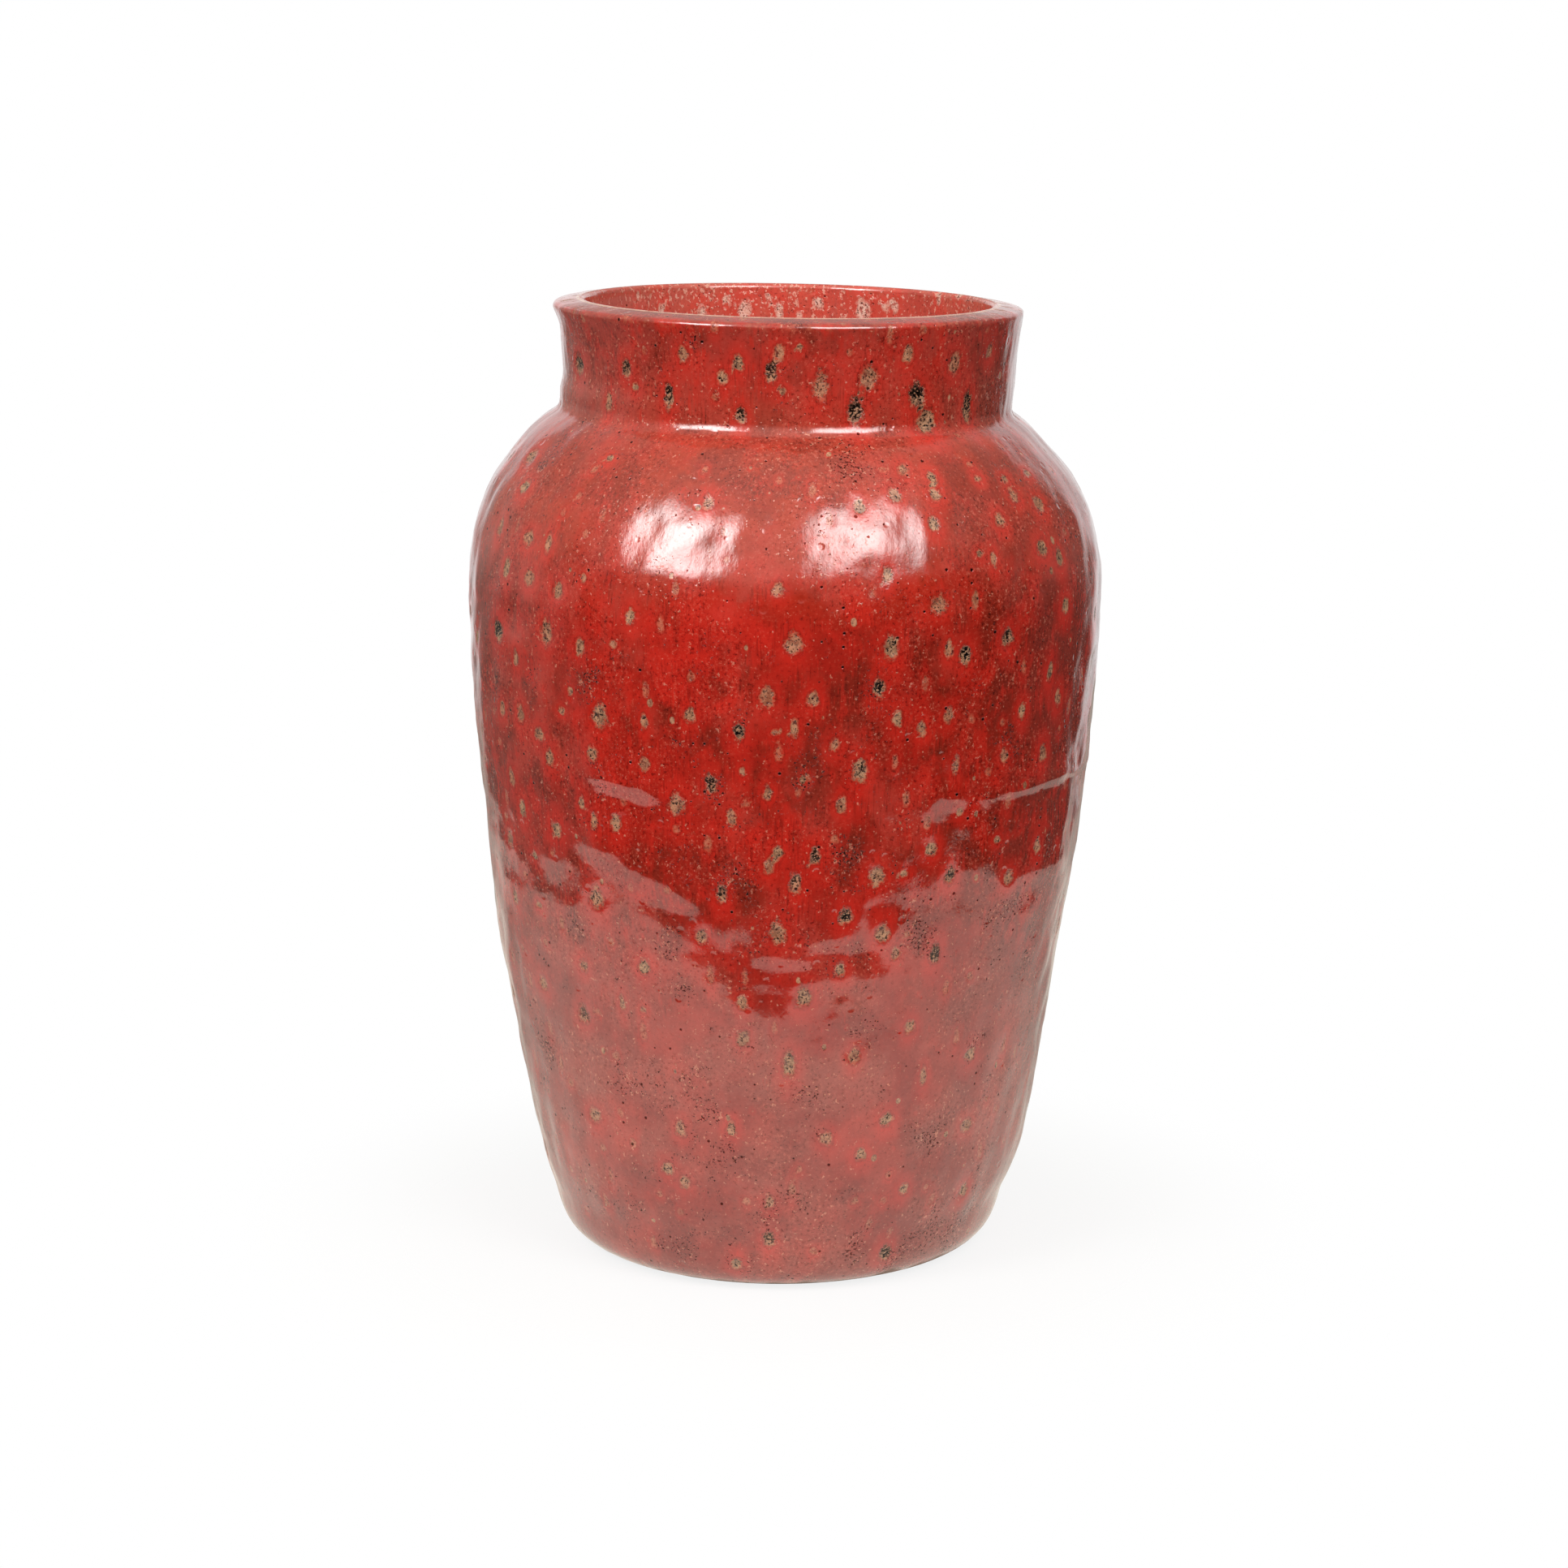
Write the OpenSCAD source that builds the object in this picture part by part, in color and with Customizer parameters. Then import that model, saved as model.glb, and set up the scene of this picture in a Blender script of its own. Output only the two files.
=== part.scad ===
// Large stoneware vase with a mottled red glaze.
// A base dish, two thrown wall sections and a neck collar, luted together with slip,
// then glazed outside and inside.
// Millimetres, Z up, the vase stands on the plane z = 0 with its axis on Z.

/* [Overall] */
// Highest edge of the lip above the table
height = 401; // [361:1:441]
// Wall thickness, glazed face to glazed face
wall = 10; // [8:0.5:12]

/* [Foot and floor] */
// Diameter of the ring that touches the table
foot_d = 152; // [138:1:166]
// Radius of the rounded edge between foot and wall
foot_edge_r = 20; // [17:0.5:22]
// Angle on the rounded edge, below level, where the outer glaze stops
glaze_stop_angle = 62; // [50:1:70]
// Diameter of the shallow recess under the floor
recess_d = 128; // [100:1:132]
// Depth of that recess
recess_depth = 2.5; // [1:0.1:4]
// Height of the glazed floor above the table
floor_h = 15; // [13:0.5:17]
// Size of the rounded corner between floor and wall
floor_corner = 16; // [12:0.5:24]

/* [Body] */
// Largest diameter of the body
belly_d = 266; // [242:1:290]
// Height of the largest diameter
belly_h = 286; // [260:1:312]
// Lean of the wall from upright where it leaves the foot
wall_lean = 30; // [26:1:34]
// How far the wall keeps that lean before it turns upright
wall_reach = 32; // [24:1:40]
// How far below the largest diameter the wall runs nearly upright
belly_reach = 88; // [70:1:110]
// How far above the largest diameter the shoulder runs nearly upright
shoulder_reach = 34; // [28:1:38]
// How far the shoulder keeps its slope before the neck
shoulder_run = 19; // [14:1:24]
// Lean of the shoulder from upright where it meets the neck
shoulder_lean = 62; // [56:1:66]

/* [Neck and lip] */
// Outside diameter of the neck collar
neck_d = 189; // [184:0.5:208]
// Height of the collar, from where it becomes upright to the highest edge of the lip
neck_h = 42; // [37:0.5:47]
// How far the collar runs nearly upright before it flares to the lip
collar_reach = 14; // [8:0.5:18]
// Radius of the hollow curve between shoulder and collar
neck_fillet = 5; // [4:0.5:7]
// Inside diameter of the neck
bore_d = 169; // [154:0.5:182]
// Outside diameter of the lip
lip_d = 195; // [178:0.5:216]
// Width of the lip, from its outer to its inner edge
lip_w = 13; // [11:0.25:15]
// Radius of both lip edges
lip_edge_r = 2; // [1.5:0.25:3]
// How much lower the outer lip edge is than the inner one
lip_drop = 1.5; // [0.5:0.1:3]
// Lean of the collar, outward from upright, just below the lip
lip_lean = 10; // [8:0.5:14]
// How far below the lip the collar keeps that lean
lip_reach = 9.4; // [6:0.2:14]

/* [Luted joints] */
// Height of the joint between base dish and lower wall
base_joint_h = 26; // [24:0.5:30]
// Height of the joint between lower wall and shoulder
belly_joint_h = 215; // [195:1:235]
// Height of the joint between shoulder and collar, above the start of the collar
neck_joint_rise = 1; // [0:0.25:3]
// Depth of the groove cut in the lower piece of each joint
groove_depth = 4; // [3:0.25:5]
// Width of the groove at its mouth
groove_mouth = 4.6; // [4:0.1:5]
// Width of the groove at its bottom
groove_floor = 2.8; // [2.6:0.1:3.2]
// Thickness of the slip between two luted pieces
slip_t = 0.8; // [0.6:0.1:1]

/* [Glaze] */
// Thickness of the fired glaze, outside and inside
glaze_t = 0.8; // [0.6:0.1:1]

/* [Smoothness] */
// Steps along each long curve of the profile
curve_steps = 36; // [24:2:48]
// Steps along each short arc of the profile
arc_steps = 10; // [8:1:14]

/* [Hidden] */
$fn = 180;
foot_r = foot_d / 2;
belly_r = belly_d / 2;
neck_r = neck_d / 2;
bore_r = bore_d / 2;
lip_r = lip_d / 2;
lip_in_r = lip_r - lip_w;
collar_h = height - neck_h;
throat_lean = atan2(lip_in_r - bore_r, neck_h + neck_fillet - lip_edge_r);
recess_r = recess_d / 2;
neck_joint_h = collar_h + neck_joint_rise;
far = belly_d + height;

// Curve helpers, points are [radius, height]
function turn(a) = [cos(a), sin(a)];
function arc(c, r, a0, a1) = [for (i = [0:arc_steps]) c + r * turn(a0 + (a1 - a0) * i / arc_steps)];
function cubic(p, t) = pow(1 - t, 3) * p[0] + 3 * pow(1 - t, 2) * t * p[1]
                     + 3 * (1 - t) * t * t * p[2] + pow(t, 3) * p[3];
function cubic_dir(p, t) = pow(1 - t, 2) * (p[1] - p[0]) + 2 * (1 - t) * t * (p[2] - p[1])
                         + t * t * (p[3] - p[2]);
function quad(p, t) = pow(1 - t, 2) * p[0] + 2 * (1 - t) * t * p[1] + t * t * p[2];
function left_of(v) = [v[1], -v[0]] / norm(v);
function backward(list) = [for (i = [len(list) - 1:-1:0]) list[i]];

// A cubic curve moved a distance d into the wall
function cubic_line(p, d, i0) = [for (i = [i0:curve_steps])
    cubic(p, i / curve_steps) - d * left_of(cubic_dir(p, i / curve_steps))];

// Foot arc centre and the two long curves of the outer face
foot_c = [foot_r, foot_edge_r];
wall_0 = foot_c + foot_edge_r * turn(-wall_lean);
wall_1 = wall_0 + wall_reach * [sin(wall_lean), cos(wall_lean)];
wall_2 = [belly_r, belly_h - belly_reach];
wall_3 = [belly_r, belly_h];
wall_curve = [wall_0, wall_1, wall_2, wall_3];

shoulder_3 = [neck_r + neck_fillet * (1 - cos(shoulder_lean)), collar_h - neck_fillet * sin(shoulder_lean)];
shoulder_2 = shoulder_3 + shoulder_run * [sin(shoulder_lean), -cos(shoulder_lean)];
shoulder_1 = [belly_r, belly_h + shoulder_reach];
shoulder_curve = [wall_3, shoulder_1, shoulder_2, shoulder_3];
fillet_c = [neck_r + neck_fillet, collar_h];

// Lip edge centres and the slope of the lip top
lip_out_c = [lip_r - lip_edge_r, height - lip_drop - lip_edge_r];
lip_in_c = [lip_in_r + lip_edge_r, height - lip_edge_r];
lip_up = 90 - atan2(lip_drop, lip_out_c[0] - lip_in_c[0]);

// Outer face, a distance d under the glazed surface, from the glaze stop to the lip top
function collar_end(d) = lip_out_c + (lip_edge_r - d) * turn(-lip_lean);
function collar_curve(d) = [[neck_r - d, collar_h], [neck_r - d, collar_h + collar_reach],
    collar_end(d) - lip_reach * [sin(lip_lean), cos(lip_lean)], collar_end(d)];
function collar_line(d) = [for (i = [1:arc_steps]) cubic(collar_curve(d), i / arc_steps)];
function outer_line(d) = concat(
    arc(foot_c, foot_edge_r - d, -glaze_stop_angle, -wall_lean),
    cubic_line(wall_curve, d, 1),
    cubic_line(shoulder_curve, d, 1),
    arc(fillet_c, neck_fillet + d, 180 + shoulder_lean, 180),
    collar_line(d),
    arc(lip_out_c, lip_edge_r - d, -lip_lean, lip_up),
    [lip_in_c + (lip_edge_r - d) * turn(lip_up)]);

// Inner face, a distance d under the glazed surface, from the floor centre to the lip top
function inner_wall(d) = [for (p = cubic_line(wall_curve, wall - d, 1))
    if (p[1] > floor_h + floor_corner) p];
function floor_meet(d) = [inner_wall(d)[0][0] - 0.28 * floor_corner, floor_h - d];
function inner_line(d) = concat(
    [[0, floor_h - d]],
    [for (i = [0:arc_steps]) quad([floor_meet(d) - [floor_corner, 0], floor_meet(d), inner_wall(d)[0]],
                                  i / arc_steps)],
    [for (i = [1:len(inner_wall(d)) - 1]) inner_wall(d)[i]],
    cubic_line(shoulder_curve, wall - d, 1),
    [[bore_r + d, collar_h - neck_fillet]],
    arc(lip_in_c, lip_edge_r - d, 180 - throat_lean, lip_up));

// The clay without its glaze, in half section
module clay_half() {
    polygon(concat(
        [[0, recess_depth], [recess_r - recess_depth, recess_depth], [recess_r, 0], [foot_r, 0]],
        arc(foot_c, foot_edge_r, -90, -glaze_stop_angle),
        outer_line(glaze_t),
        backward(inner_line(glaze_t))));
}

// Radius of the middle of the clay wall at height h
function by_height(line) = [for (p = line) [p[1], p[0]]];
function wall_middle(h) = (lookup(h, by_height(outer_line(glaze_t)))
                         + lookup(h, by_height(inner_line(glaze_t)))) / 2;

// Everything under a luted joint, with the groove cut out
module under_joint(h) {
    m = wall_middle(h);
    difference() {
        square([far, h]);
        polygon([[m - groove_mouth / 2, h + slip_t], [m - groove_mouth / 2, h],
                 [m - groove_floor / 2, h - groove_depth], [m + groove_floor / 2, h - groove_depth],
                 [m + groove_mouth / 2, h], [m + groove_mouth / 2, h + slip_t]]);
    }
}

// Everything over a luted joint, with the tongue that reaches into the groove
module over_joint(h) {
    m = wall_middle(h);
    union() {
        translate([0, h + slip_t]) square([far, far]);
        polygon([[m - groove_mouth / 2 + slip_t, h + 2 * slip_t], [m - groove_mouth / 2 + slip_t, h],
                 [m - groove_floor / 2 + slip_t, h - groove_depth + slip_t],
                 [m + groove_floor / 2 - slip_t, h - groove_depth + slip_t],
                 [m + groove_mouth / 2 - slip_t, h], [m + groove_mouth / 2 - slip_t, h + 2 * slip_t]]);
    }
}

// The slip that fills one joint
module slip_ring(h) {
    rotate_extrude() difference() {
        clay_half();
        under_joint(h);
        over_joint(h);
    }
}

module base_dish() {
    color([0.48, 0.42, 0.37])
    rotate_extrude() intersection() {
        clay_half();
        under_joint(base_joint_h);
    }
}

module base_slip() {
    color([0.56, 0.50, 0.44]) slip_ring(base_joint_h);
}

module lower_wall() {
    color([0.48, 0.42, 0.37])
    rotate_extrude() intersection() {
        clay_half();
        over_joint(base_joint_h);
        under_joint(belly_joint_h);
    }
}

module belly_slip() {
    color([0.56, 0.50, 0.44]) slip_ring(belly_joint_h);
}

module shoulder_wall() {
    color([0.48, 0.42, 0.37])
    rotate_extrude() intersection() {
        clay_half();
        over_joint(belly_joint_h);
        under_joint(neck_joint_h);
    }
}

module neck_slip() {
    color([0.56, 0.50, 0.44]) slip_ring(neck_joint_h);
}

module neck_collar() {
    color([0.48, 0.42, 0.37])
    rotate_extrude() intersection() {
        clay_half();
        over_joint(neck_joint_h);
    }
}

module outer_glaze() {
    color([0.62, 0.05, 0.04])
    rotate_extrude() polygon(concat(outer_line(0), backward(outer_line(glaze_t))));
}

module inner_glaze() {
    color([0.56, 0.07, 0.05])
    rotate_extrude() polygon(concat(inner_line(0), backward(inner_line(glaze_t))));
}

base_dish();
base_slip();
lower_wall();
belly_slip();
shoulder_wall();
neck_slip();
neck_collar();
outer_glaze();
inner_glaze();
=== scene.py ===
"""Looks of a large red stoneware vase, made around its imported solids.

Every solid of the vase is a turning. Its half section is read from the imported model, turned again
with a finer mesh and bent by one hand-made form, so clay, slip and glaze stay together. The two
glaze coats also get craters, and every piece gets a procedural material.

Lengths are metres in the part's own frame: Z is up, the foot stands on z = 0 and the photo was
taken from -Y. An azimuth is 0 at the front and grows to the right.
"""

import logging
import math
from dataclasses import dataclass, field, replace
from enum import Enum
from typing import Any

import bpy
import numpy as np
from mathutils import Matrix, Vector


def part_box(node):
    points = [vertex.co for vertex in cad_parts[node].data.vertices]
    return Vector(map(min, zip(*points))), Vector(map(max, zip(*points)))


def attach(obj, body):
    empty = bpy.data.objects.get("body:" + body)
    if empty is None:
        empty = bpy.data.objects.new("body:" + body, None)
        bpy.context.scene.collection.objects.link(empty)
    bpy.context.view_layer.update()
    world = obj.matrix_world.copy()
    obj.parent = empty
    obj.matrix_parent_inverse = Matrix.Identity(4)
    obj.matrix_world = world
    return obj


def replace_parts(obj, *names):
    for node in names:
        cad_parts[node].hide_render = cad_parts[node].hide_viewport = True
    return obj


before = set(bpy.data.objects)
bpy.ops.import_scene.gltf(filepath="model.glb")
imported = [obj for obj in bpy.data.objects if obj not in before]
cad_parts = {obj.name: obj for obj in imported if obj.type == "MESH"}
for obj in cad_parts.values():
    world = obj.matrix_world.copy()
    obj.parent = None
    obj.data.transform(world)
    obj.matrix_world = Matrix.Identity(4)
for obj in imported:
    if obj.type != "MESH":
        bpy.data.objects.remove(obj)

log = logging.getLogger("vase")

MM = 0.001
BODY = "root"
# Usual radius of the wall
WALL_RADIUS = 0.118
# Share of the vase's height at which the lamps look
LAMP_AIM = 0.75
WHITE = (1.0, 1.0, 1.0, 1.0)

Array = np.ndarray
Colour = tuple[float, float, float, float]
Pixel = tuple[int, int]
Place = tuple[float, float]
Patch = tuple[int, int, float]
Socket = bpy.types.NodeSocket


def srgb(red: int, green: int, blue: int) -> Colour:
    """A colour as it is seen on a screen, 0 to 255, as the linear values that a shader takes.

    Args:
        red: Red on the screen.
        green: Green on the screen.
        blue: Blue on the screen.

    Returns:
        Linear red, green, blue and an alpha of 1.
    """
    linear = []
    for value in (red, green, blue):
        share = value / 255
        linear.append(share / 12.92 if share <= 0.04045 else ((share + 0.055) / 1.055) ** 2.4)
    return (linear[0], linear[1], linear[2], 1.0)


def smooth_step(value: Array) -> Array:
    """0 below 0, 1 above 1 and a smooth rise between them."""
    share = np.clip(value, 0.0, 1.0)
    return share * share * (3.0 - 2.0 * share)


def wrap(angle: Array) -> Array:
    """An angle brought to the range from minus half a turn to half a turn."""
    return (angle + math.pi) % (2 * math.pi) - math.pi


@dataclass(frozen=True)
class PhotoCamera:
    """The camera of the photo, fitted to the outline of the vase.

    Attributes:
        aside: Offset of the camera to the right of the foot's centre.
        distance: Distance from the vase's axis, along the table.
        height: Height over the table.
        pitch: Angle by which the camera looks down, in degrees.
        focal_px: Focal length in pixels of the photo.
        frame_px: Width and height of the photo in pixels.
        sensor_mm: Width of the sensor that the lens is given for.
    """

    aside: float = 2.3 * MM
    distance: float = 1.600
    height: float = 0.532
    pitch: float = 11.87
    focal_px: float = 4734.0
    frame_px: float = 1932.0
    sensor_mm: float = 36.0

    def ray(self, px: float, py: float) -> tuple[Vector, Vector]:
        """The line of sight through a pixel of the photo.

        Args:
            px: Pixels from the photo's left edge.
            py: Pixels from the photo's top edge.

        Returns:
            Where the line starts and its direction.
        """
        down = math.radians(self.pitch)
        ahead = Vector((0, math.cos(down), -math.sin(down)))
        upward = Vector((0, math.sin(down), math.cos(down)))
        right = Vector((1, 0, 0))
        middle = self.frame_px / 2
        aside = right * (px - middle) / self.focal_px
        direction = ahead + aside + upward * (middle - py) / self.focal_px
        return Vector((self.aside, -self.distance, self.height)), direction.normalized()

    def build(self) -> bpy.types.Object:
        """Adds the camera and makes it the scene's own.

        Returns:
            The camera.
        """
        data = bpy.data.cameras.new("photo_camera")
        data.sensor_width = self.sensor_mm
        data.lens = self.focal_px / self.frame_px * self.sensor_mm
        camera = bpy.data.objects.new("photo_camera", data)
        camera.location = (self.aside, -self.distance, self.height)
        camera.rotation_euler = (math.radians(90 - self.pitch), 0, 0)
        bpy.context.scene.collection.objects.link(camera)
        bpy.context.scene.camera = camera
        return camera


class HalfSection:
    """The half section of a turned solid, as points [radius, height] in order.

    Attributes:
        points: The corners of the section. A ring's list is closed, and the list of a solid on the
            axis runs from axis to axis.
        closed: Whether the section is a ring's.
    """

    JOIN = 0.03 * MM
    CORNER = math.radians(50)

    def __init__(self, node: bpy.types.Object) -> None:
        """Reads the rings of a turned mesh and walks them in the order in which faces join them.

        Args:
            node: The turned solid, with its axis on Z.
        """
        mesh = node.data
        flat = np.empty(len(mesh.vertices) * 3, np.float32)
        mesh.vertices.foreach_get("co", flat)
        at = flat.reshape(-1, 3).astype(float)
        rings, which = self._rings(np.column_stack([np.hypot(at[:, 0], at[:, 1]), at[:, 2]]))
        ends = np.empty(len(mesh.edges) * 2, np.int32)
        mesh.edges.foreach_get("vertices", ends)
        pairs = which[ends.reshape(-1, 2)]
        joined: dict[int, set[int]] = {i: set() for i in range(len(rings))}
        for a, b in pairs[pairs[:, 0] != pairs[:, 1]]:
            joined[a].add(b)
            joined[b].add(a)
        tips = [i for i in joined if len(joined[i]) == 1]
        self.closed = not tips
        order = self._walk(joined, tips[0] if tips else 0)
        points = rings[order]
        if not self.closed:
            axis = np.array([0.0, 1.0])
            points = np.vstack([points[0] * axis, points, points[-1] * axis])
        self.points = points

    def _rings(self, places: Array) -> tuple[Array, Array]:
        """Groups vertices that lie on one ring.

        Args:
            places: Radius and height of each vertex.

        Returns:
            Radius and height of each ring, and the ring of each vertex.
        """
        rough, which = np.unique(np.round(places / self.JOIN), axis=0, return_inverse=True)
        which = which.ravel()
        kept = np.arange(len(rough))
        for i in range(len(rough)):
            near = np.flatnonzero(np.abs(rough[:i] - rough[i]).max(axis=1) <= 1.0) if i else []
            if len(near):
                kept[i] = kept[near[0]]
        names, ring_of = np.unique(kept, return_inverse=True)
        which = ring_of.ravel()[which]
        centres = np.array([places[which == i].mean(axis=0) for i in range(len(names))])
        return centres, which

    @staticmethod
    def _walk(joined: dict[int, set[int]], start: int) -> list[int]:
        """Follows the rings from one to the next.

        Args:
            joined: The neighbours of each ring.
            start: The ring to start from.

        Returns:
            The rings in order.
        """
        order = [start]
        seen = {start}
        while True:
            onward = [i for i in sorted(joined[order[-1]]) if i not in seen]
            if not onward:
                return order
            order.append(onward[0])
            seen.add(onward[0])

    def sides(self) -> list[Array]:
        """The section cut at its sharp corners.

        Returns:
            Runs of points without a sharp corner, in order.
        """
        points = np.vstack([self.points, self.points[:1]]) if self.closed else self.points
        step = np.diff(points, axis=0)
        heading = np.arctan2(step[:, 1], step[:, 0])
        turns = np.abs(wrap(np.diff(heading)))
        corners = [int(i) + 1 for i in np.flatnonzero(turns > self.CORNER)]
        if self.closed:
            first = corners[0]
            points = np.vstack([points[first:-1], points[: first + 1]])
            corners = [i - first for i in corners[1:]]
            if abs(wrap(heading[0] - heading[-1])) > self.CORNER:
                corners.append(len(step) - first)
        cuts = sorted({0, *corners, len(points) - 1})
        return [points[a : b + 1] for a, b in zip(cuts[:-1], cuts[1:])]


@dataclass(frozen=True)
class Band:
    """Heights between which the rows of a mesh lie closer together.

    Attributes:
        low: Lowest height.
        high: Highest height.
        times: How many times closer the rows lie.
    """

    low: float
    high: float
    times: float


# Bend from which a corner of a run stays a kink
KINK = math.radians(18)
# Length from which a stretch of a run stays straight, in usual steps
LONG_STRETCH = 4
# Number of places at which the density of a run is worked out
DENSE = 4000


def redrawn(run: Array, spacing: float, bands: tuple[Band, ...] = ()) -> Array:
    """A run of points drawn again in even steps, curved but for its long stretches and kinks.

    Args:
        run: Points without a sharp corner.
        spacing: The step to aim at.
        bands: Where the steps are shorter.

    Returns:
        The new points, with the same two ends.
    """
    chord = np.diff(run, axis=0)
    step = np.linalg.norm(chord, axis=1)
    along = np.concatenate([[0.0], np.cumsum(step)])
    bend = np.abs(wrap(np.diff(np.arctan2(chord[:, 1], chord[:, 0]))))
    kink = np.concatenate([[False], bend > KINK, [False]])
    straight = kink[:-1] | kink[1:] | (step > LONG_STRETCH * np.median(step))
    if len(run) > 2:
        slope = np.gradient(run, along, axis=0)
    else:
        slope = np.repeat(chord / step[0], 2, axis=0)
    dense = np.linspace(0.0, along[-1], DENSE)
    height = np.interp(dense, along, run[:, 1])
    density = np.full(len(dense), 1 / spacing)
    for band in bands:
        density[(height > band.low) & (height < band.high)] *= band.times
    count = np.concatenate([[0.0], np.cumsum(density[1:] * np.diff(dense))])
    wanted = np.interp(np.linspace(0.0, count[-1], max(1, round(count[-1])) + 1), count, dense)
    i = np.clip(np.searchsorted(along, wanted, side="right") - 1, 0, len(step) - 1)
    length = step[i][:, None]
    t = ((wanted - along[i]) / step[i])[:, None]
    curved = (
        (2 * t**3 - 3 * t**2 + 1) * run[i]
        + (t**3 - 2 * t**2 + t) * length * slope[i]
        + (3 * t**2 - 2 * t**3) * run[i + 1]
        + (t**3 - t**2) * length * slope[i + 1]
    )
    return np.where(straight[i][:, None], run[i] + t * chord[i], curved)


class Ripple:
    """Seeded smooth unevenness over the wall of the vase, even in strength all round.

    Attributes:
        around: Number of crests of each wave around the vase.
        upward: Turn of each wave per metre of height.
        phase: Where each wave starts.
        weight: Strength of each wave.
    """

    MODES = 48
    SPREAD = (0.7, 1.4)

    def __init__(self, seed: int, wavelength: float, radius: float) -> None:
        """Draws the waves that make up the unevenness.

        Args:
            seed: Start of the random numbers.
            wavelength: Usual distance from crest to crest.
            radius: Usual radius of the wall.
        """
        random = np.random.default_rng(seed)
        heading = random.uniform(0, 2 * math.pi, self.MODES)
        number = 2 * math.pi / (wavelength * random.uniform(*self.SPREAD, self.MODES))
        self.around = np.round(radius * number * np.cos(heading))
        self.upward = number * np.sin(heading)
        self.phase = random.uniform(0, 2 * math.pi, self.MODES)
        self.weight = random.normal(0, 1, self.MODES) * math.sqrt(2 / self.MODES)

    def at(self, azimuth: Array, height: Array) -> Array:
        """The unevenness, about 1 in strength.

        Args:
            azimuth: Azimuth of each place.
            height: Height of each place.

        Returns:
            The unevenness at each place.
        """
        total = np.zeros(np.broadcast(azimuth, height).shape)
        for k, m, p, w in zip(self.around, self.upward, self.phase, self.weight):
            total += w * np.cos(k * azimuth + m * height + p)
        return total


@dataclass(frozen=True)
class Ledge:
    """A short slanting ledge that the maker's hand left in the wall.

    Attributes:
        start: Pixel of the photo at its left end.
        end: Pixel of the photo at its right end.
        proud: How far the wall stands out over it.
        width: Height of the band in which the wall steps out.
        fade: Height over which the wall comes back to its form above it.
        soft: Share of its length over which an end runs out.
        past: Share of that run that lies beyond the end.
    """

    start: Pixel
    end: Pixel
    proud: float = 0.9 * MM
    width: float = 8 * MM
    fade: float = 26 * MM
    soft: float = 0.3
    past: float = 0.35

    def ends(self, share: Array) -> Array:
        """How much of the ledge is left at a share of its length."""
        left = smooth_step(share / self.soft + self.past)
        return left * smooth_step((1 - share) / self.soft + self.past)


@dataclass(frozen=True)
class Hollow:
    """A broad shallow hollow or swelling of the wall.

    Attributes:
        azimuth: Azimuth of its middle, in degrees.
        height: Height of its middle.
        depth: Its depth, below 0 for a swelling.
        reach: Half its height.
        turn: Half its width, in degrees.
    """

    azimuth: float
    height: float
    depth: float
    reach: float
    turn: float = 45.0


@dataclass(frozen=True)
class BellyJoint:
    """The line around the belly at which the upper section was luted on.

    Attributes:
        height: Its height at the front.
        tilt: Its slope, down to the right, in degrees.
        wander: How far it wanders up and down.
        proud: How far the upper section stands out over it.
        proud_usual: Usual share of that.
        proud_right: How much larger that share is at the right, and smaller at the left.
        proud_wander: How far that share wanders.
        width: Height of the band in which the wall steps out.
        fade: Height over which the upper section comes back to its form.
        smoothed: Share by which the step was smoothed over at the front.
        smoothed_azimuth: Azimuth of the middle of the smoothed stretch, in degrees.
        smoothed_turn: Half the width of that stretch, in degrees.
    """

    height: float = 0.2155
    tilt: float = 3.0
    wander: float = 1.2 * MM
    proud: float = 0.50 * MM
    proud_usual: float = 0.75
    proud_right: float = 0.35
    proud_wander: float = 0.25
    width: float = 2.4 * MM
    fade: float = 30 * MM
    smoothed: float = 0.9
    smoothed_azimuth: float = 7.0
    smoothed_turn: float = 37.0


@dataclass(frozen=True)
class Pinch:
    """The place under the lip at which the collar is pressed in.

    Attributes:
        azimuth: Azimuth of its middle, in degrees.
        turn: Half its width, in degrees.
        depth: Its depth.
        low: Height at which it starts.
        rise: Height over which it grows.
        lip: Height of the part of the lip that it leaves true.
        fade: Height over which it runs out below the lip.
    """

    azimuth: float = -90.0
    turn: float = 50.0
    depth: float = 1.6 * MM
    low: float = 0.362
    rise: float = 0.010
    lip: float = 3 * MM
    fade: float = 8 * MM


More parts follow.
